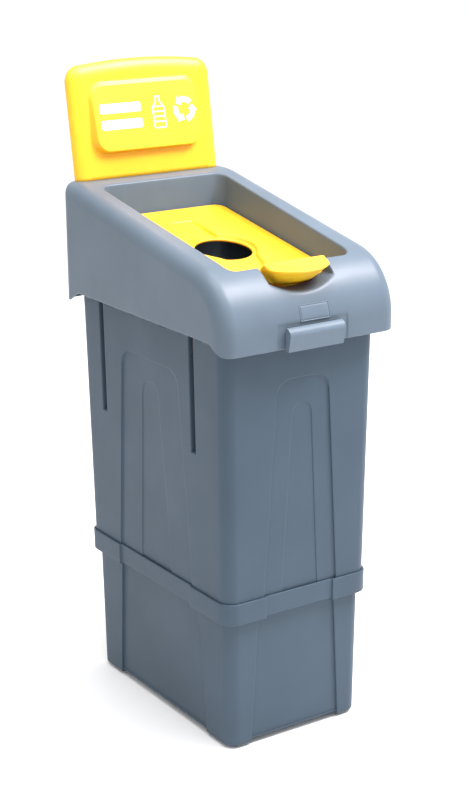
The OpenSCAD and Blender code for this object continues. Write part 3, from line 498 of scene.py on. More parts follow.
def hood_outline(t):
    """The outer outline moved in by t and the basin's mouth, as matched plan points that run anticlockwise
    from the right side, with their outward normals and the kind of each column: 0 right side, 2 rear,
    4 left side, 6 front, and the odd numbers for the corners between them. The columns of the front gather
    at the edges of the pocket, of the grip's recess and of the latch's notch."""
    left = [-74.0, -71.6, -68.4, -67.0, -62.0, -60.0, -51.6, -49.0]
    keys = left + [-k for k in reversed(left)]
    counts = [10, 1, 4, 1, 8, 1, 3, 4, 28, 4, 3, 1, 8, 1, 4, 1, 10]
    n_side, n_corner = 61, 12

    def plan(half, y0, y1, r, inset):
        """A rounded rectangle from -half to half and from y0 to y1, with corners of radius r, moved in by
        inset with the same straight parts, and its normals."""
        x, y = half - r, (y1 - y0) / 2 - r
        side, front = np.linspace(-y, y, n_side)[None, :], steps(np.array([[-x] + keys + [x]]), counts)
        sizes = np.array([[half - inset], [(y1 - y0) / 2 - inset], [r - inset]])
        xy, normal = perimeter(*sizes, side, front, corner=n_corner)[:2]
        return xy[0] + (0, (y0 + y1) / 2), normal[0]

    outer, normal = plan(HOOD_W / 2, Y_FRONT, Y_REAR, HOOD_R, t)
    mouth = plan(MOUTH_W / 2, MOUTH_FRONT, MOUTH_REAR, MOUTH_R, 0.0)[0]
    kind = np.repeat(np.arange(8), [n_side, n_corner, sum(counts) + 1, n_corner] * 2)
    return outer, mouth, normal, kind


def hood_skin(t):
    """The hood's wall, top and basin lip on its outer side moved in by t: for each column a line up the
    wall, then the plan path from the wall to the mouth, at 1 - cos steps, with the form's height, the
    pocket cut into it, and the rounded lip. Returned with the columns' normals and kinds."""
    outer, start, normal, kind = hood_outline(t)
    front = kind == 6

    def height(x, y):
        """The form's height with the pocket cut in: the lesser of the two, softly, where the pocket is."""
        z = hood_height(x, y, t)
        low = soft_min(z, pocket_floor(x, y, t) + 0 * z, 4.0)
        return z + (low - z) * smooth((66.5 + t - np.abs(x)) / 4.0) * (y < -150.0)

    def outwards(p, d):
        """Plan points moved by d along their normals, and only along y on the front."""
        q = p + normal * d
        q[:, 0] = np.where(front, start[:, 0], q[:, 0])
        return q

    rise = height(start[:, 0], start[:, 1]) - MOUTH_Z
    mouth = outwards(start, (t + rise * BASIN_TAN)[:, None])
    mouth_h = height(mouth[:, 0], mouth[:, 1])
    lip = 3.5 if t == 0 else 1.5
    tau = levels((0, 0.06, 3), (0.06, 1.0, 44))
    k = (1 - np.cos(tau * math.pi / 2))[:, None, None]
    plan = outer * (1 - k) + outwards(mouth, lip) * k
    top = lift(plan, height(plan[..., 0], plan[..., 1]))
    low = skirt_low(outer[:, 0], outer[:, 1])
    up = levels((0, 0.02, 1), (0.02, 0.98, 12), (0.98, 1.0, 1))[:-1, None]
    wall = lift(np.repeat(outer[None], len(up), 0), (low + 2.0) * (1 - up) + top[0, :, 2] * up)
    inner = ring(mouth - normal * (lip * BASIN_TAN), mouth_h - lip)
    rim = roundover(top[-1], ring(mouth, mouth_h), inner, 6)[1:]
    skin = np.concatenate([wall, top, rim])
    if t == 0:
        # the shallow recess about the grip
        x, z = skin[..., 0], skin[..., 2]
        skin[..., 1] += 1.6 * (front[None, :] * smooth((71.2 - np.abs(x)) / 2.4) * smooth((754.0 - z) / 3.0))
    return skin, normal, kind


def basin_floor(y):
    """Height of the ledge that the lid rests on: a plane at the lid's slope."""
    return LID_Z - LID_REST + y * math.tan(LID_SLOPE)


def hood_shell():
    """The hood as one closed sheet of rings: the outer skin, the basin's wall and ledge, then back along
    the inner side of each to the skirt's rounded edge."""
    skin, normal, kind = hood_skin(0.0)
    back = hood_skin(HOOD_WALL)[0]
    last = skin[-1]
    drop = np.maximum(last[:, 2] - basin_floor(last[:, 1]) - 1.5, 1.0)

    def down(f):
        """Points a part f of the way down the basin's wall, which leans in with its draft."""
        return ring(last[:, :2] - normal * (drop * f * BASIN_TAN)[:, None], last[:, 2] - drop * f)

    walls = np.stack([down(f) for f in (0.08, 0.3, 0.55, 0.8, 0.97, 1.0)])
    foot = walls[-1]
    reach = np.where((kind == 2) | (kind == 1) | (kind == 3), 1.0, 7.0)
    reach = np.where((kind == 0) | (kind == 4), 7.0 - 6.0 * smooth((foot[:, 1] - 148.0) / 10.0), reach)

    def inward(d, dz):
        """The wall's foot moved in by d, at dz from the ledge's plane."""
        xy = foot[:, :2] - normal * (d * np.ones(len(foot)))[:, None]
        return ring(xy, basin_floor(xy[:, 1]) + dz)

    ledge = np.stack([inward(d, dz) for d, dz in (
        (0.5, 0.5), (1.2, 0.0), (reach * 0.85 - 0.1, 0.0), (reach, -0.8), (reach, -3.4),
        (reach * 0.9, -4.0), (-1.0, -4.0), (-3.6, -3.6))])
    f = unit(8)[1:-1, None, None]
    behind = ledge[-1] * (1 - f) + back[-1] * f
    a = np.linspace(0, math.pi, 7)[1:-1, None, None]
    edge = (skin[0] + back[0]) / 2 + (back[0] - skin[0]) / 2 * np.cos(a)
    edge[..., 2] -= HOOD_WALL / 2 * np.sin(a[..., 0])
    return Shell().rings(np.concatenate([skin, walls, ledge, behind, back[::-1], edge]), wrap=True)


# The badge plate: place across, distance up the brow's arc, half sizes, corner radius, and the distances
# in from its outline and out from the brow of its back, edge, frame line, groove and field
BADGE_X, BADGE_RUN = 5.5, 28.6
BADGE_W, BADGE_H, BADGE_R = 29.5, 13.5, 2.4
BADGE_LINE = ((4.0, -1.0), (0.4, -1.0), (0.0, -0.6), (0.0, 0.5), (0.2, 0.7), (1.0, 0.7), (1.2, 0.5),
              (1.3, 0.1), (2.5, 0.1), (2.6, 0.35), (2.9, 0.5), (5.5, 0.5), (8.5, 0.5), (11.5, 0.5), (13.0, 0.5))


def badge_shell():
    """The badge plate as one closed sheet of rings, each a rounded rectangle on the brow's arc: the back,
    the edge, a narrow frame line, a groove inside it and the level field, which is left bare."""

    def on_brow(x, v, out):
        """Points at x and at v along the brow's arc, out from its surface."""
        phi, reach = (BADGE_RUN + v) / BROW_R, BROW_R + out
        x = BADGE_X + x + 0 * phi
        return join(x, BROW_Y - reach * np.cos(phi), BROW_Z + reach * np.sin(phi))

    inset, out = np.array(BADGE_LINE).T
    w, h, r = BADGE_W - inset, BADGE_H - inset, np.maximum(BADGE_R - inset, 0.3)
    t = np.linspace(-1, 1, 13)[None, :]
    xy = perimeter(w, h, r, (h - r)[:, None] * t, (w - r)[:, None] * t, corner=4)[0]
    rows = on_brow(xy[..., 0], xy[..., 1], out[:, None])
    return Shell().rings(rows, start=on_brow(0.0, 0.0, out[0]), end=on_brow(0.0, 0.0, out[-1]))


# ---- Lid ----

# The hole's radius at the top of its edge, the recess's circle, neck and taper, and the lid's outline
HOLE_R, HOLE_EDGE = 50.0, 1.6
RECESS_R, NECK_HALF, NECK_END, TAPER_HALF, TAPER_END = 57.0, 20.0, 135.0, 52.0, 112.0
RECESS_DEPTH = 6.0
EDGE_FORE, EDGE_AFT, EDGE_HALF, EDGE_R, EDGE_SPREAD = 194.7, 195.6, 117.6, 19.5, 0.0149


def lid_world(p):
    """Points of the lid's own frame, whose origin is the hole's centre on the lid's top, set at its slope."""
    x, v, w = p[..., 0], p[..., 1] + HOLE_Y, p[..., 2]
    c, s = math.cos(LID_SLOPE), math.sin(LID_SLOPE)
    return np.stack([x, v * c - w * s, LID_Z + v * s + w * c], -1)


def recess_line(n):
    """The recess about the hole as n points evenly spaced along it, with outward normals. Its radius is the
    greatest of a circle, a neck of even width that runs back and a taper that runs forwards."""
    a = np.linspace(0, 2 * math.pi, 4801)[:-1]
    c, s = np.cos(a), np.sin(a)
    ax, aft, fore = np.maximum(np.abs(c), 1e-6), np.maximum(s, 1e-6), np.maximum(-s, 1e-6)
    neck = np.where(s > 0, soft_min(NECK_HALF / ax, NECK_END / aft, 6.0), 0)
    taper = np.where(s < 0, soft_min(TAPER_HALF / (ax + 0.34 * np.maximum(-s, 0)), TAPER_END / fore, 6.0), 0)
    reach = -soft_min(-np.full_like(a, RECESS_R), -np.maximum(neck, taper), 7.0)
    p = join(reach * c, reach * s)
    run = np.concatenate([[0], np.cumsum(np.linalg.norm(np.roll(p, -1, 0) - p, axis=1))])
    at = np.linspace(0, run[-1], n, endpoint=False)
    closed = np.concatenate([p, p[:1]])
    q = join(np.interp(at, run, closed[:, 0]), np.interp(at, run, closed[:, 1]))
    t = np.roll(q, -3, 0) - np.roll(q, 3, 0)
    t /= np.linalg.norm(t, axis=1)[:, None]
    return q, join(t[:, 1], -t[:, 0])


def lid_edge(q, inset):
    """Where the line from the hole's centre through each q meets the lid's edge, moved in by inset: a
    rectangle that widens to the rear, with round corners."""
    d = q / np.linalg.norm(q, axis=1)[:, None]
    r, hx = EDGE_R - inset, EDGE_HALF - inset
    c, s = np.maximum(np.abs(d[:, 0]), 1e-6), d[:, 1]
    end = np.where(s > 0, EDGE_AFT, EDGE_FORE) - inset
    to_side = hx / np.maximum(c - EDGE_SPREAD * s, 1e-4)
    to_end = end / np.maximum(np.abs(s), 1e-6)
    reach = np.minimum(to_side, to_end)
    cx = hx + EDGE_SPREAD * np.where(s > 0, end - r, r - end) - r
    cy = end - r
    along = c * cx + np.abs(s) * cy
    inside = r * r - (cx**2 + cy**2 - along**2)
    corner = along + np.sqrt(np.maximum(inside, 0))
    at_corner = (reach * c > cx) & (reach * np.abs(s) > cy)
    return d * np.where(at_corner, np.minimum(corner, reach + 5), reach)[:, None]


def lid_shell():
    """The lid as one closed sheet of rings about its hole: up the rim, in over the plate, down the soft wall
    of the recess to its floor, round the hole's edge and back along the underside. The recess is shallower
    along its neck. The nose and the two bosses that turn on the pins are closed forms let into it."""
    q, nrm = recess_line(460)
    d = q / np.linalg.norm(q, axis=1)[:, None]
    sink = RECESS_DEPTH * (0.35 + 0.65 * smooth((150.0 - q[:, 1]) / 75.0))

    def edge_rows(profile):
        """Rings along the lid's edge, one per (inset, height)."""
        return [ring(lid_edge(q, inset), w) for inset, w in profile]

    def between(a, b, heights, ks):
        """Rings from the line a to the line b at parts ks, with heights(k)."""
        return [ring(a * (1 - k) + b * k, heights(k)) for k in ks]

    a = quarter(6)
    rows = edge_rows([(1.0, -LID_DEEP), (0.2, -13.8), (0.0, -13.0), (0.0, -8.0), (0.0, -2.4)]
                     + list(zip(2.0 - 2.0 * np.cos(a), -2.0 + 2.0 * np.sin(a))) + [(2.8, 0.0)])
    rows += between(lid_edge(q, 2.8), q + nrm * 3.4, lambda k: 0.0, unit(10)[1:])
    rows += [ring(q + nrm * k, -sink * smooth((2.6 - k) / 5.4)) for k in np.linspace(2.6, -2.8, 10)]
    rows += between(q - nrm * 3.4, d * (HOLE_R + HOLE_EDGE), lambda k: -sink * (1 - k) - RECESS_DEPTH * k,
                    unit(6)[:-1])
    rows += [ring(d * (HOLE_R + HOLE_EDGE * (1 - math.sin(b))), HOLE_EDGE * (math.cos(b) - 1) - RECESS_DEPTH)
             for b in a]
    rows += [ring(d * HOLE_R, -9.4), ring(d * (HOLE_R + 0.6), -RECESS_DEPTH - LID_WALL)]
    rows += [ring(q + nrm * 0.5, -sink - LID_WALL), ring(q + nrm * 1.5, -sink - 3.4),
             ring(q + nrm * 4.5, -4.6), ring(q + nrm * 5.5, -LID_WALL)]
    rows += between(q + nrm * 5.5, lid_edge(q, 6.0), lambda k: -LID_WALL, (0.25, 0.5, 0.75, 1.0))
    rows += edge_rows([(4.6, -4.6), (4.0, -6.0), (4.0, -13.2), (3.2, -LID_DEEP)])
    shell = Shell().rings(lid_world(np.stack(rows)), wrap=True)
    for side in (-1, 1):
        profile = [(side * 108.0, 5.6), (side * 108.6, 6.2), (side * 118.4, 6.2), (side * 119.0, 5.6)]
        add_turned(shell, (0, PIN_Y, PIN_Z), sorted(profile))
    loops = nose_loops()
    return shell.rings(loops, start=loops[0].mean(axis=0), end=loops[-1].mean(axis=0))


# The nose: its crest, its half width, its front edge and its skirt's foot as arcs, and the skirt's taper
CREST_Y, CREST_Z, NOSE_HALF = -212.0, 842.2, 60.0
NOSE_TIP, NOSE_ARC, NOSE_EDGE = -262.0, 70.0, 834.0
FOOT_TIP, FOOT_ARC, NOSE_LOW, NOSE_TAPER = -227.5, 65.0, 808.0, 0.38
NOSE_REAR, HOLLOW_REAR = -181.0, -188.0


def nose_narrow(x, y, z):
    """The nose's positions across it, drawn in by NOSE_TAPER from its edge down to its skirt's foot, and
    not at all at the rear, where it stands on the lid."""
    down = np.clip((NOSE_EDGE - z) / (NOSE_EDGE - NOSE_LOW), 0, 1)
    return x * (1 - NOSE_TAPER * down * smooth((-196.0 - y) / 22.0))


def nose_loops():
    """The nose as closed loops across it, from its left end to its right. Each loop climbs from the lid to
    the crest, falls to the curved front edge, turns down and back along the skirt to a smaller arc, and
    comes back up the hollow inside. The ends are solid for 3.5 mm and rounded."""
    ends = np.array([0.0, 0.5, 1.5, 3.0])
    round_off = np.array([2.2, 1.0, 0.25, 0.0])
    x = np.concatenate([-NOSE_HALF + ends, np.linspace(-56.5, 56.5, 47), NOSE_HALF - ends[::-1]])[:, None]
    shrink = np.concatenate([round_off, np.zeros(47), round_off[::-1]])[:, None]
    hollow = np.concatenate([np.zeros(5), np.ones(45), np.zeros(5)])[:, None]
    corner = 4.0 - np.sqrt(16.0 - np.clip(np.abs(x) - 56.0, 0, 3.99) ** 2)
    edge = NOSE_TIP + NOSE_ARC - np.sqrt(NOSE_ARC**2 - x**2) + corner + shrink
    foot = FOOT_TIP + FOOT_ARC - np.sqrt(FOOT_ARC**2 - (x * (1 - NOSE_TAPER)) ** 2) + shrink
    top = CREST_Z - shrink
    plate_z = LID_Z + NOSE_REAR * math.tan(LID_SLOPE)
    inner_z, under_z, hollow_y = NOSE_EDGE - 6.0, top - 3.6, CREST_Y + 9.0
    inward = edge + 3.2 - foot
    inner_y = foot + 3.2 + inward * hollow

    def at(y, z):
        """Points of every loop at y and z."""
        y, z = np.broadcast_arrays(y + 0 * edge, z + 0 * edge)
        return join(x + 0 * y, y, z)

    k, a = unit(9)[None, :-1], quarter(6)[None, :]
    ramp = at(NOSE_REAR + (CREST_Y + 4.0 - NOSE_REAR) * k,
              plate_z - 2.0 + (top - 2.0 - plate_z) * smooth(k) ** 0.9)
    crest = at(CREST_Y + 3.2 - 3.2 * np.sin(a), top - 3.2 + 3.2 * np.sin(a))
    k, a = unit(15)[None, 1:], quarter(5)[None, 1:]
    fall = at(CREST_Y + (edge + 1.0 - CREST_Y) * k, top - (top - NOSE_EDGE) * k**1.25)
    lip = at(edge + 1.0 - np.sin(a), NOSE_EDGE - 1.0 + np.cos(a) - 0.4 * np.sin(a))
    k = unit(9)[None, 1:]
    skirt = at(edge + (foot - edge) * k, NOSE_EDGE - 1.4 + (NOSE_LOW - NOSE_EDGE + 1.4) * k)
    k = unit(6)[None, :]
    inner = at(foot + 3.2 + inward * k * hollow, NOSE_LOW + (inner_z - NOSE_LOW) * k * hollow)
    k = unit(10)[None, 1:]
    roof = at(inner_y + (hollow_y - inner_y) * k,
              NOSE_LOW + (inner_z - NOSE_LOW + (under_z - inner_z) * k**0.8) * hollow)
    solid_z = NOSE_LOW + (plate_z - LID_WALL - NOSE_LOW) * k * (1 - hollow)
    rear = at(hollow_y + (HOLLOW_REAR - hollow_y) * k,
              solid_z + ((under_z - NOSE_LOW) * (1 - k) + (plate_z - 8.0 - NOSE_LOW) * k) * hollow)
    loops = np.concatenate([ramp, crest, fall, lip, skirt, inner, roof, rear], axis=1)
    caps = []
    for end in (loops[:1], loops[-1:]):
        mid = end.mean(axis=1, keepdims=True)
        caps.append(np.concatenate([mid + (end - mid) * f for f in (0.12, 0.4, 0.7)]))
    loops = np.concatenate([caps[0], loops, caps[1][::-1]])
    loops[..., 0] = nose_narrow(loops[..., 0], loops[..., 1], loops[..., 2])
    return loops


# ---- Sign ----

# The board: half width, where its corners' centres lie, how far its top rises, radius of its corners;
# the rolled front edge's width and depth; and the raised panel's half width and corner radius
BOARD_HALF, BOARD_Z, BOARD_RISE, BOARD_R = 148.0, 172.7, 7.0, 30.0
ROLL_W, ROLL_D = 24.0, 12.0
PANEL_HALF, PANEL_R, PANEL_MID = 110.0, 26.0, 107.0


def sign_world(p):
    """Points (x, height, depth behind the board's front) of the sign's own frame, leant back and set on
    the ledge."""
    x, h, y = p[..., 0], p[..., 1], p[..., 2]
    c, s = math.cos(SIGN_LEAN), math.sin(SIGN_LEAN)
    return np.stack([x, SIGN_Y + y * c + h * s, LEDGE_Z - y * s + h * c], -1)


def board_line(g):
    """The board's outline moved in by g, anticlockwise from its lower right end: upright side, round
    corner, an arched top, and the same down to the ledge."""
    half, r, q = BOARD_HALF - BOARD_R, BOARD_R - g, math.pi / 2
    crown = (half**2 + BOARD_RISE**2) / (2 * BOARD_RISE)
    b = math.asin(half / crown)
    up = unit(34)[:-1]
    base = np.linspace(g - BOARD_HALF, BOARD_HALF - g, 64)[:-1]
    return np.concatenate([
        join(BOARD_HALF - g + 0 * up, up * BOARD_Z), arc(half, BOARD_Z, r, 0, q - b, 14),
        arc(0, BOARD_Z + BOARD_R + BOARD_RISE - crown, crown - g, q - b, q + b, 64),
        arc(-half, BOARD_Z, r, q + b, math.pi, 14), join(g - BOARD_HALF + 0 * up, (1 - up) * BOARD_Z),
        join(base, 0 * base)])


def pillow_line(g):
    """The raised panel's outline moved in by g, with as many points as the board's on each stretch."""
    r, q = PANEL_R - g, math.pi / 2
    hw, lo, hi = PANEL_HALF - g - r, PANEL_LOW + g + r, PANEL_HIGH - g - r
    side = np.linspace(lo, hi, 20)[:-1]
    base = np.linspace(-hw, hw, 64)[:-1]
    return np.concatenate([
        arc(hw, lo, r, -q, 0, 15), join(hw + r + 0 * side, side), arc(hw, hi, r, 0, q, 14),
        join(-base, hi + r + 0 * base), arc(-hw, hi, r, q, math.pi, 14),
        join(-hw - r + 0 * side, side[::-1] + (side[1] - side[0])), arc(-hw, lo, r, math.pi, 3 * q, 15),
        join(base, lo - r + 0 * base)])


def panel_face(h):
    """Depth of the raised panel's face at height h: 15 out at its lower edge and 3 at its upper edge."""
    return -15.0 + 12.0 * (h - PANEL_LOW) / (PANEL_HIGH - PANEL_LOW)


def sign_shell():
    """The sign as one closed sheet of rings: its hollow back, the back edge, the sides, the broad rolled
    front edge, the flat front and the raised panel, whose top and sides run into the front softly while its
    lower edge stands out; with the flange behind the hood."""
    on_base = np.arange(len(board_line(0.0))) >= len(board_line(0.0)) - 63
    mid = np.array([0.0, PANEL_MID])

    def scaled(line, k):
        """The line shrunk to k about the panel's middle."""
        return mid + (line - mid) * k

    def board_above(g, low):
        """The board's outline moved in by g, held above low."""
        line = board_line(g)
        return join(line[:, 0], np.maximum(line[:, 1], low))

    def rolled(g):
        """The board's outline moved in by g except at its base."""
        line = board_line(g * 0.999)
        return join(line[:, 0], np.where(on_base, 0.0, line[:, 1]))

    def grown(k):
        """The raised panel's outline moved out by k, one for all or one per point."""
        line = pillow_line(0.0)
        return line + (pillow_line(-1.0) - line) * (k * np.ones(len(line)))[:, None]

    back = [scaled(pillow_line(6.0), k) for k in (0.35, 0.7, 1.0)]
    rows = [ring(line, panel_face(line[:, 1]) + 4.0) for line in back]
    line, inner = pillow_line(5.0), pillow_line(3.0)
    rows += [ring(line, np.minimum(panel_face(line[:, 1]) + 5.0, 3.5)), ring(pillow_line(4.0), 3.7),
             ring(inner, 4.0)]
    rows += [ring(inner * (1 - k) + board_above(9.0, 5.0) * k, 4.0) for k in (0.5, 1.0)]
    rows += [ring(board_above(g, g), depth) for g, depth in ((4.0, 8.0), (4.0, 15.0), (3.4, 16.0))]
    rows += [ring(board_line(g), depth) for g, depth in ((0.8, 16.0), (0.0, 15.2), (0.0, 13.0))]
    # a quarter ellipse, flat again towards the base
    rows += [ring(rolled(ROLL_W * (1 - math.cos(a))), ROLL_D * (1 - math.sin(a))) for a in quarter(14)[1:]]
    low_side = smooth((62.0 - pillow_line(0.0)[:, 1]) / 24.0)
    spread = 9.0 * (1 - low_side) + 3.0 * low_side
    outer, foot, last = rolled(ROLL_W), grown(spread * 0.5), grown(-spread * 0.5)
    rows += [ring(outer * (1 - k) + foot * k, 0.0) for k in unit(7)[1:]]
    for k in [*np.linspace(0.06, 0.94, 9), 1.0]:
        line = grown(spread * (0.5 - k))
        rows.append(ring(line, panel_face(line[:, 1]) * smooth(k)))
    face = [scaled(last, k) for k in (0.96, 0.8, 0.5, 0.2)]
    rows += [ring(line, panel_face(line[:, 1])) for line in face]
    start, end = [np.array([0.0, PANEL_MID, panel_face(PANEL_MID) + behind]) for behind in (4.0, 0.0)]
    shell = Shell().rings(sign_world(np.stack(rows)), start=sign_world(start), end=sign_world(end))
    add_bar(shell, (-FLANGE_HALF, FLANGE_REAR - 4.0, FLANGE_LOW), (FLANGE_HALF, FLANGE_REAR, 924.6), r=1.2)
    add_bar(shell, (-FLANGE_HALF, 237.0, LEDGE_Z), (FLANGE_HALF, FLANGE_REAR, 925.1), r=1.2)
    return shell


# ---- Finishes ----


def finish(name, colour, rough, grain=900.0, relief=0.06, metal=0.0, wear=0.12, mottle=0.05, scatter=0.0,
           ior=1.46, brushed=False):
    """A procedural finish on the piece's own coordinates: a slow drift of the colour, fine grain in relief
    and in roughness, faint scuffs, and edges rubbed lighter where the surface turns sharply. grain is the
    fine grain's scale and relief its strength; wear sets the scuffs and rubbed edges, mottle the drift."""
    mat = bpy.data.materials.new(name)
    mat.use_nodes = True
    nodes, links = mat.node_tree.nodes, mat.node_tree.links
    nodes.clear()

    def feed(socket, value):
        """Links the socket to an output, or sets it to a value."""
        if isinstance(value, bpy.types.NodeSocket):
            links.new(value, socket)
        else:
            socket.default_value = value

    def add(kind, **values):
        """A new shader node with its inputs fed, an underscore in a name standing for a space."""
        node = nodes.new("ShaderNode" + kind)
        for key, value in values.items():
            feed(node.inputs[key.replace("_", " ")], value)
        return node

    place = add("TexCoord").outputs["Object"]

    def noise(scale, detail, rough_n=0.5, stretch=None):
        """Noise on the piece's coordinates, or on those coordinates times stretch."""
        at = place if stretch is None else add("Mapping", Vector=place, Scale=stretch).outputs["Vector"]
        return add("TexNoise", Vector=at, Scale=scale, Detail=detail, Roughness=rough_n).outputs["Fac"]

    def remap(value, a, b, c, d):
        """The value taken from the span a to b into the span c to d, and held there."""
        return add("MapRange", Value=value, From_Min=a, From_Max=b, To_Min=c, To_Max=d).outputs["Result"]

    def mixed(fac, a, b):
        """The colour a turned into the colour b by fac."""
        n = add("Mix")
        n.data_type = "RGBA"
        for key, value in (("Factor", fac), (6, a), (7, b)):
            feed(n.inputs[key], value)
        return n.outputs[2]

    def shade(scale, plus=0.0):
        """The colour times scale and plus, held at 1 or less, with an alpha of 1."""
        return (*[min(v * scale + plus, 1.0) for v in colour], 1.0)

    pale = shade(1.25, 0.02)
    tint = mixed(remap(noise(7.0, 3.0), 0.35, 0.65, 0.0, 1.0), shade(1 - mottle), shade(1 + mottle))
    tint = mixed(remap(noise(46.0, 8.0, 0.7, (1.0, 1.0, 0.22)), 0.62, 0.76, 0.0, wear), tint, pale)
    edges = add("NewGeometry").outputs["Pointiness"]
    tint = mixed(remap(edges, 0.52, 0.62, 0.0, wear * 2.5), tint, pale)
    fine = noise(grain, 2.0, 0.6, (1.0, 1.0, 14.0) if brushed else None)
    total = add("Math")
    total.operation = "ADD"
    feed(total.inputs[0], remap(fine, 0.3, 0.7, rough - 0.05, rough + 0.05))
    feed(total.inputs[1], remap(noise(18.0, 4.0), 0.3, 0.7, -0.035, 0.035))
    bump = add("Bump", Strength=relief, Distance=0.0004, Height=fine)
    skin = add("BsdfPrincipled", Base_Color=tint, Roughness=total.outputs["Value"], Metallic=metal, IOR=ior,
               Normal=bump.outputs["Normal"])
    if scatter:
        feed(skin.inputs["Subsurface Weight"], scatter)
        feed(skin.inputs["Subsurface Radius"], (1.0, 0.45, 0.06))
        feed(skin.inputs["Subsurface Scale"], 0.008)
    add("OutputMaterial", Surface=skin.outputs["BSDF"])
    return mat


# Each slot's finish: its name, its colour or the setting that holds it, its roughness or, for a setting's
# colour, what is added to the roughness setting, and the rest
SLOT_FINISHES = {
    "grey_plastic": ("moulded grey", "grey", 0.0, dict(wear=0.05, ior=1.26)),
    "hood_grey_plastic": ("moulded hood grey", "hood_grey", -0.04, dict(wear=0.05, ior=1.34)),
    "pale_grey_plastic": ("moulded pale grey", "pale_grey", 0.04, dict(wear=0.05, ior=1.34)),
    "yellow_plastic": ("moulded yellow", "yellow", -0.04, dict(wear=0.05, mottle=0.02, scatter=0.35)),
    "white_vinyl": ("white label film", (0.9, 0.9, 0.86), 0.3,
                    dict(grain=1600.0, relief=0.03, wear=0.03, mottle=0.02)),
    "zinc_steel": ("plated steel", (0.62, 0.63, 0.64), 0.32,
                   dict(grain=500.0, relief=0.1, metal=1.0, brushed=True)),
    "black_steel": ("black painted steel", (0.025, 0.026, 0.028), 0.45, dict(grain=700.0, relief=0.12)),
    "rubber": ("foot rubber", (0.03, 0.03, 0.032), 0.75, dict(grain=1200.0, relief=0.2)),
}
FINISHES = {}


def finish_for(slot_name, settings):
    """The finish of one of the record's slots, made once and shared by the pieces in that slot."""
    if slot_name not in FINISHES:
        name, colour, rough, rest = SLOT_FINISHES[slot_name]
        if isinstance(colour, str):
            colour, rough = tuple(getattr(settings, colour)), settings.sheen + rough
        FINISHES[slot_name] = finish(name, colour, rough, **rest)
    return FINISHES[slot_name]


# ---- Settings, operators and panel ----


class BIN_PG_finish(bpy.types.PropertyGroup):
    """Colours and sheen of the mouldings."""

    grey: FloatVectorProperty(name="Grey", description="Colour of the container and the plinth",
                              subtype="COLOR", size=3, min=0, max=1, default=(0.049, 0.073, 0.099))
    hood_grey: FloatVectorProperty(name="Hood grey", description="Colour of the hood",
                                   subtype="COLOR", size=3, min=0, max=1, default=(0.088, 0.118, 0.150))
    pale_grey: FloatVectorProperty(name="Pale grey", description="Colour of the latch and the badge plate",
                                   subtype="COLOR", size=3, min=0, max=1, default=(0.094, 0.128, 0.163))
    yellow: FloatVectorProperty(name="Yellow", description="Colour of the lid and the sign",
                                subtype="COLOR", size=3, min=0, max=1, default=(0.80, 0.435, 0.012))
    sheen: FloatProperty(name="Roughness", description="Roughness of the mouldings",
                         subtype="FACTOR", min=0.1, max=1, default=0.42)


class BIN_PG_stage(bpy.types.PropertyGroup):
    """The studio round the bin."""

    floor_size: FloatProperty(name="Floor", description="Length of the floor's sides",
                              unit="LENGTH", min=1, default=60.0)
    sky: FloatProperty(name="Room light", description="Strength of the even white light", min=0, default=1.16)
    key: FloatProperty(name="Overhead light", description="Power of the broad light overhead",
                       min=0, default=104.0)
    fill: FloatProperty(name="Front light", description="Power of the soft light at the front right",
                        min=0, default=2.0)
    brow: FloatProperty(name="Brow light", description="Power of the soft light high at the front",
                        min=0, default=104.0)
    lens: FloatProperty(name="Lens", description="Focal length in millimetres", min=10, default=78.33)


class BIN_PG_station(bpy.types.PropertyGroup):
    """All settings of the bin station."""

    finish: PointerProperty(name="Finish", description="Colours and sheen", type=BIN_PG_finish)
    stage: PointerProperty(name="Stage", description="Floor, lights and camera", type=BIN_PG_stage)


def stand_for(obj, body, slot_name, *nodes):
    """Lets a new piece ride on its body and stand for its nodes. slot_name is not used."""
    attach(obj, body)
    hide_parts(*nodes)
    return obj


def add_shell(context, shell, name, body, slot_name, node):
    """Makes a shell's object in its slot's finish and lets it stand for its node."""
    look = finish_for(slot_name, context.scene.bin_station.finish)
    stand_for(shell.make(name, look), body, slot_name, node)
    return {"FINISHED"}


class BIN_OT_container(bpy.types.Operator):
    """Make the container's shell"""

    bl_idname = "bin_station.container"
    bl_label = "Container"

    def execute(self, context):
        return add_shell(context, container_shell(), "container_shell", "base", "grey_plastic", "container")


class BIN_OT_plinth(bpy.types.Operator):
    """Make the plinth's shell"""

    bl_idname = "bin_station.plinth"
    bl_label = "Plinth"

    def execute(self, context):
        return add_shell(context, plinth_shell(), "plinth_shell", "base", "grey_plastic", "plinth")


class BIN_OT_hood(bpy.types.Operator):
    """Make the hood's shell with its hinge knuckles and latch ears"""

    bl_idname = "bin_station.hood"
    bl_label = "Hood"

    def execute(self, context):
        shell = hood_shell()
        profile = ((-7.0, 7.4), (-6.4, 8.0), (6.4, 8.0), (7.0, 7.4))
        for side in (-1, 1):
            for x in [side * at for at in KNUCKLES]:
                add_turned(shell, (0, HINGE_Y, HINGE_Z), [(x + run, r) for run, r in profile])
                add_bar(shell, (x - 7.0, HINGE_Y - 6.0, HINGE_Z + 2.0), (x + 7.0, Y_REAR - 1.0, 727.0))
            lo, hi = sorted((side * EAR_X, side * (EAR_X + EAR_THICK)))
            add_bar(shell, (lo, LATCH_Y - 5.5, LATCH_Z - 6.0), (hi, LATCH_Y + 6.0, GRIP_TOP + 6.0))
        return add_shell(context, shell, "hood_shell", "hood", "hood_grey_plastic", "hood")


class BIN_OT_badge(bpy.types.Operator):
    """Make the bare badge plate on the hood's brow"""

    bl_idname = "bin_station.badge"
    bl_label = "Badge plate"

    def execute(self, context):
        return add_shell(context, badge_shell(), "badge_shell", "hood", "pale_grey_plastic", "badge_plate")


class BIN_OT_lid(bpy.types.Operator):
    """Make the lid's shell with its nose and bosses"""

    bl_idname = "bin_station.lid"
    bl_label = "Lid"

    def execute(self, context):
        return add_shell(context, lid_shell(), "lid_shell", "lid", "yellow_plastic", "lid")


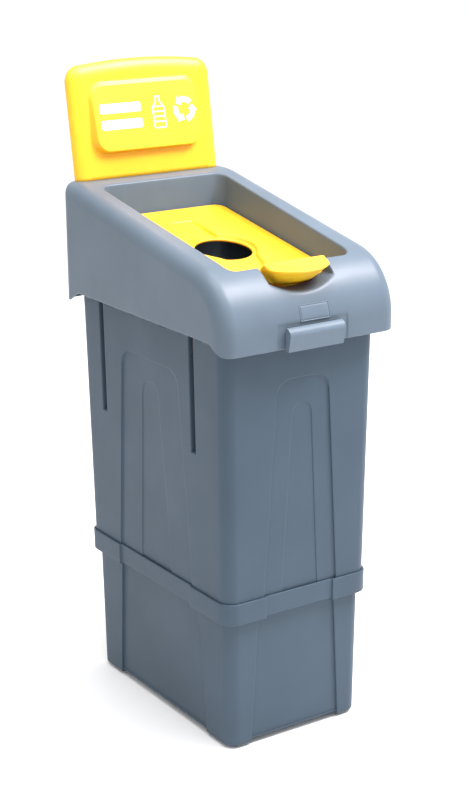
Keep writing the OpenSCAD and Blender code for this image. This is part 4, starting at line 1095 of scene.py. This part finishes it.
class BIN_OT_sign(bpy.types.Operator):
    """Make the sign board's shell"""

    bl_idname = "bin_station.sign"
    bl_label = "Sign board"

    def execute(self, context):
        return add_shell(context, sign_shell(), "sign_shell", "hood", "yellow_plastic", "sign_board")


class BIN_OT_fittings(bpy.types.Operator):
    """Give the remaining pieces of the frame the finishes of their slots"""

    bl_idname = "bin_station.fittings"
    bl_label = "Fittings"

    def execute(self, context):
        for part in frame["record"]["subparts"]:
            node = frame["nodes"][part["node"]]
            node.data.materials.clear()
            node.data.materials.append(finish_for(part["material_slot"], context.scene.bin_station.finish))
        return {"FINISHED"}


def placed(context, name, data):
    """A new object of the data in the scene."""
    obj = bpy.data.objects.new(name, data)
    context.scene.collection.objects.link(obj)
    return obj


# The lights: name, place, aim, width, depth and colour, in metres, and the setting that holds the power
LIGHTS = (
    ("overhead_light", (0.15, -0.55, 3.1), (0.0, -0.1, 0.8), 2.6, 2.2, (1.0, 0.98, 1.0), "key"),
    ("brow_light", (1.25, -1.05, 2.75), (0.0, -0.25, 0.82), 1.1, 0.9, (0.99, 0.95, 1.0), "brow"),
    ("front_light", (2.6, -3.0, 1.6), (0.0, 0.0, 0.6), 1.8, 1.8, (0.94, 0.92, 1.0), "fill"),
)
# The camera: place in metres, and its turn to the right, up and about its own axis in degrees
EYE, EYE_YAW, EYE_PITCH, EYE_ROLL = (-1.6128, -2.4586, 1.4400), 33.644, -16.806, -0.380


class BIN_OT_stage(bpy.types.Operator):
    """Set the floor, the lights and the camera"""

    bl_idname = "bin_station.stage"
    bl_label = "Stage"

    def execute(self, context):
        s = context.scene.bin_station.stage
        mesh = bpy.data.meshes.new("studio_floor")
        corners = np.array([[-1, -1, 0], [1, -1, 0], [1, 1, 0], [-1, 1, 0]]) * (s.floor_size / 2)
        mesh.from_pydata(corners.tolist(), [], [(0, 1, 2, 3)])
        floor = placed(context, "studio_floor", mesh)
        look = finish("pale floor", (0.87, 0.87, 0.87), 0.7, grain=300.0, relief=0.02, wear=0.0, mottle=0.01)
        mesh.materials.append(look)
        world = bpy.data.worlds.new("studio")
        world.use_nodes = True
        back = world.node_tree.nodes["Background"]
        back.inputs["Color"].default_value = (1.0, 1.0, 1.0, 1.0)
        back.inputs["Strength"].default_value = s.sky
        context.scene.world = world
        for name, where, aim, width, depth, tint, power in LIGHTS:
            light = bpy.data.lights.new(name, "AREA")
            light.shape, light.size, light.size_y = "RECTANGLE", width, depth
            light.energy, light.color = getattr(s, power), tint
            obj = placed(context, name, light)
            way = np.array(aim) - np.array(where)
            down = math.atan2(math.hypot(way[0], way[1]), -way[2])
            obj.location = where
            obj.rotation_euler = (down, 0, math.atan2(-way[0], way[1]))
        cam = bpy.data.cameras.new("camera")
        cam.lens, cam.sensor_width, cam.clip_end = s.lens, 36.0, 100.0
        eye = placed(context, "camera", cam)
        yaw, pitch, roll = [math.radians(v) for v in (EYE_YAW, EYE_PITCH, EYE_ROLL)]
        ahead = np.array([math.sin(yaw) * math.cos(pitch), math.cos(yaw) * math.cos(pitch), math.sin(pitch)])
        level = np.array([math.cos(yaw), -math.sin(yaw), 0.0])
        right = math.cos(roll) * level + math.sin(roll) * np.cross(level, ahead)
        turn = np.eye(4)
        turn[:3] = np.array([right, np.cross(right, ahead), -ahead, EYE]).T
        eye.matrix_world = Matrix(turn.tolist())
        context.scene.camera = eye
        context.scene.view_settings.view_transform = "Standard"
        return {"FINISHED"}


class BIN_PT_panel(bpy.types.Panel):
    """The bin station's pieces and settings"""

    bl_label = "Bin Station"
    bl_idname = "BIN_PT_panel"
    bl_space_type = "VIEW_3D"
    bl_region_type = "UI"
    bl_category = "Bin Station"

    def draw(self, context):
        station = context.scene.bin_station
        for operator in OPERATORS:
            self.layout.operator(operator.bl_idname)
        for group in (station.finish, station.stage):
            box = self.layout.box()
            for key in group.bl_rna.properties.keys():
                if key not in ("rna_type", "name"):
                    box.prop(group, key)


OPERATORS = (BIN_OT_container, BIN_OT_plinth, BIN_OT_hood, BIN_OT_badge, BIN_OT_lid, BIN_OT_sign,
             BIN_OT_fittings, BIN_OT_stage)
CLASSES = (BIN_PG_finish, BIN_PG_stage, BIN_PG_station) + OPERATORS + (BIN_PT_panel,)


def register():
    """Registers every class and hangs the settings on the scene."""
    for cls in CLASSES:
        bpy.utils.register_class(cls)
    bpy.types.Scene.bin_station = PointerProperty(type=BIN_PG_station)


def unregister():
    """Takes the settings and the classes away again."""
    del bpy.types.Scene.bin_station
    for cls in reversed(CLASSES):
        bpy.utils.unregister_class(cls)


def main():
    register()
    bpy.ops.bin_station.container()
    bpy.ops.bin_station.plinth()
    bpy.ops.bin_station.hood()
    bpy.ops.bin_station.badge()
    bpy.ops.bin_station.lid()
    bpy.ops.bin_station.sign()
    bpy.ops.bin_station.fittings()
    bpy.ops.bin_station.stage()


if __name__ == "__main__":
    main()
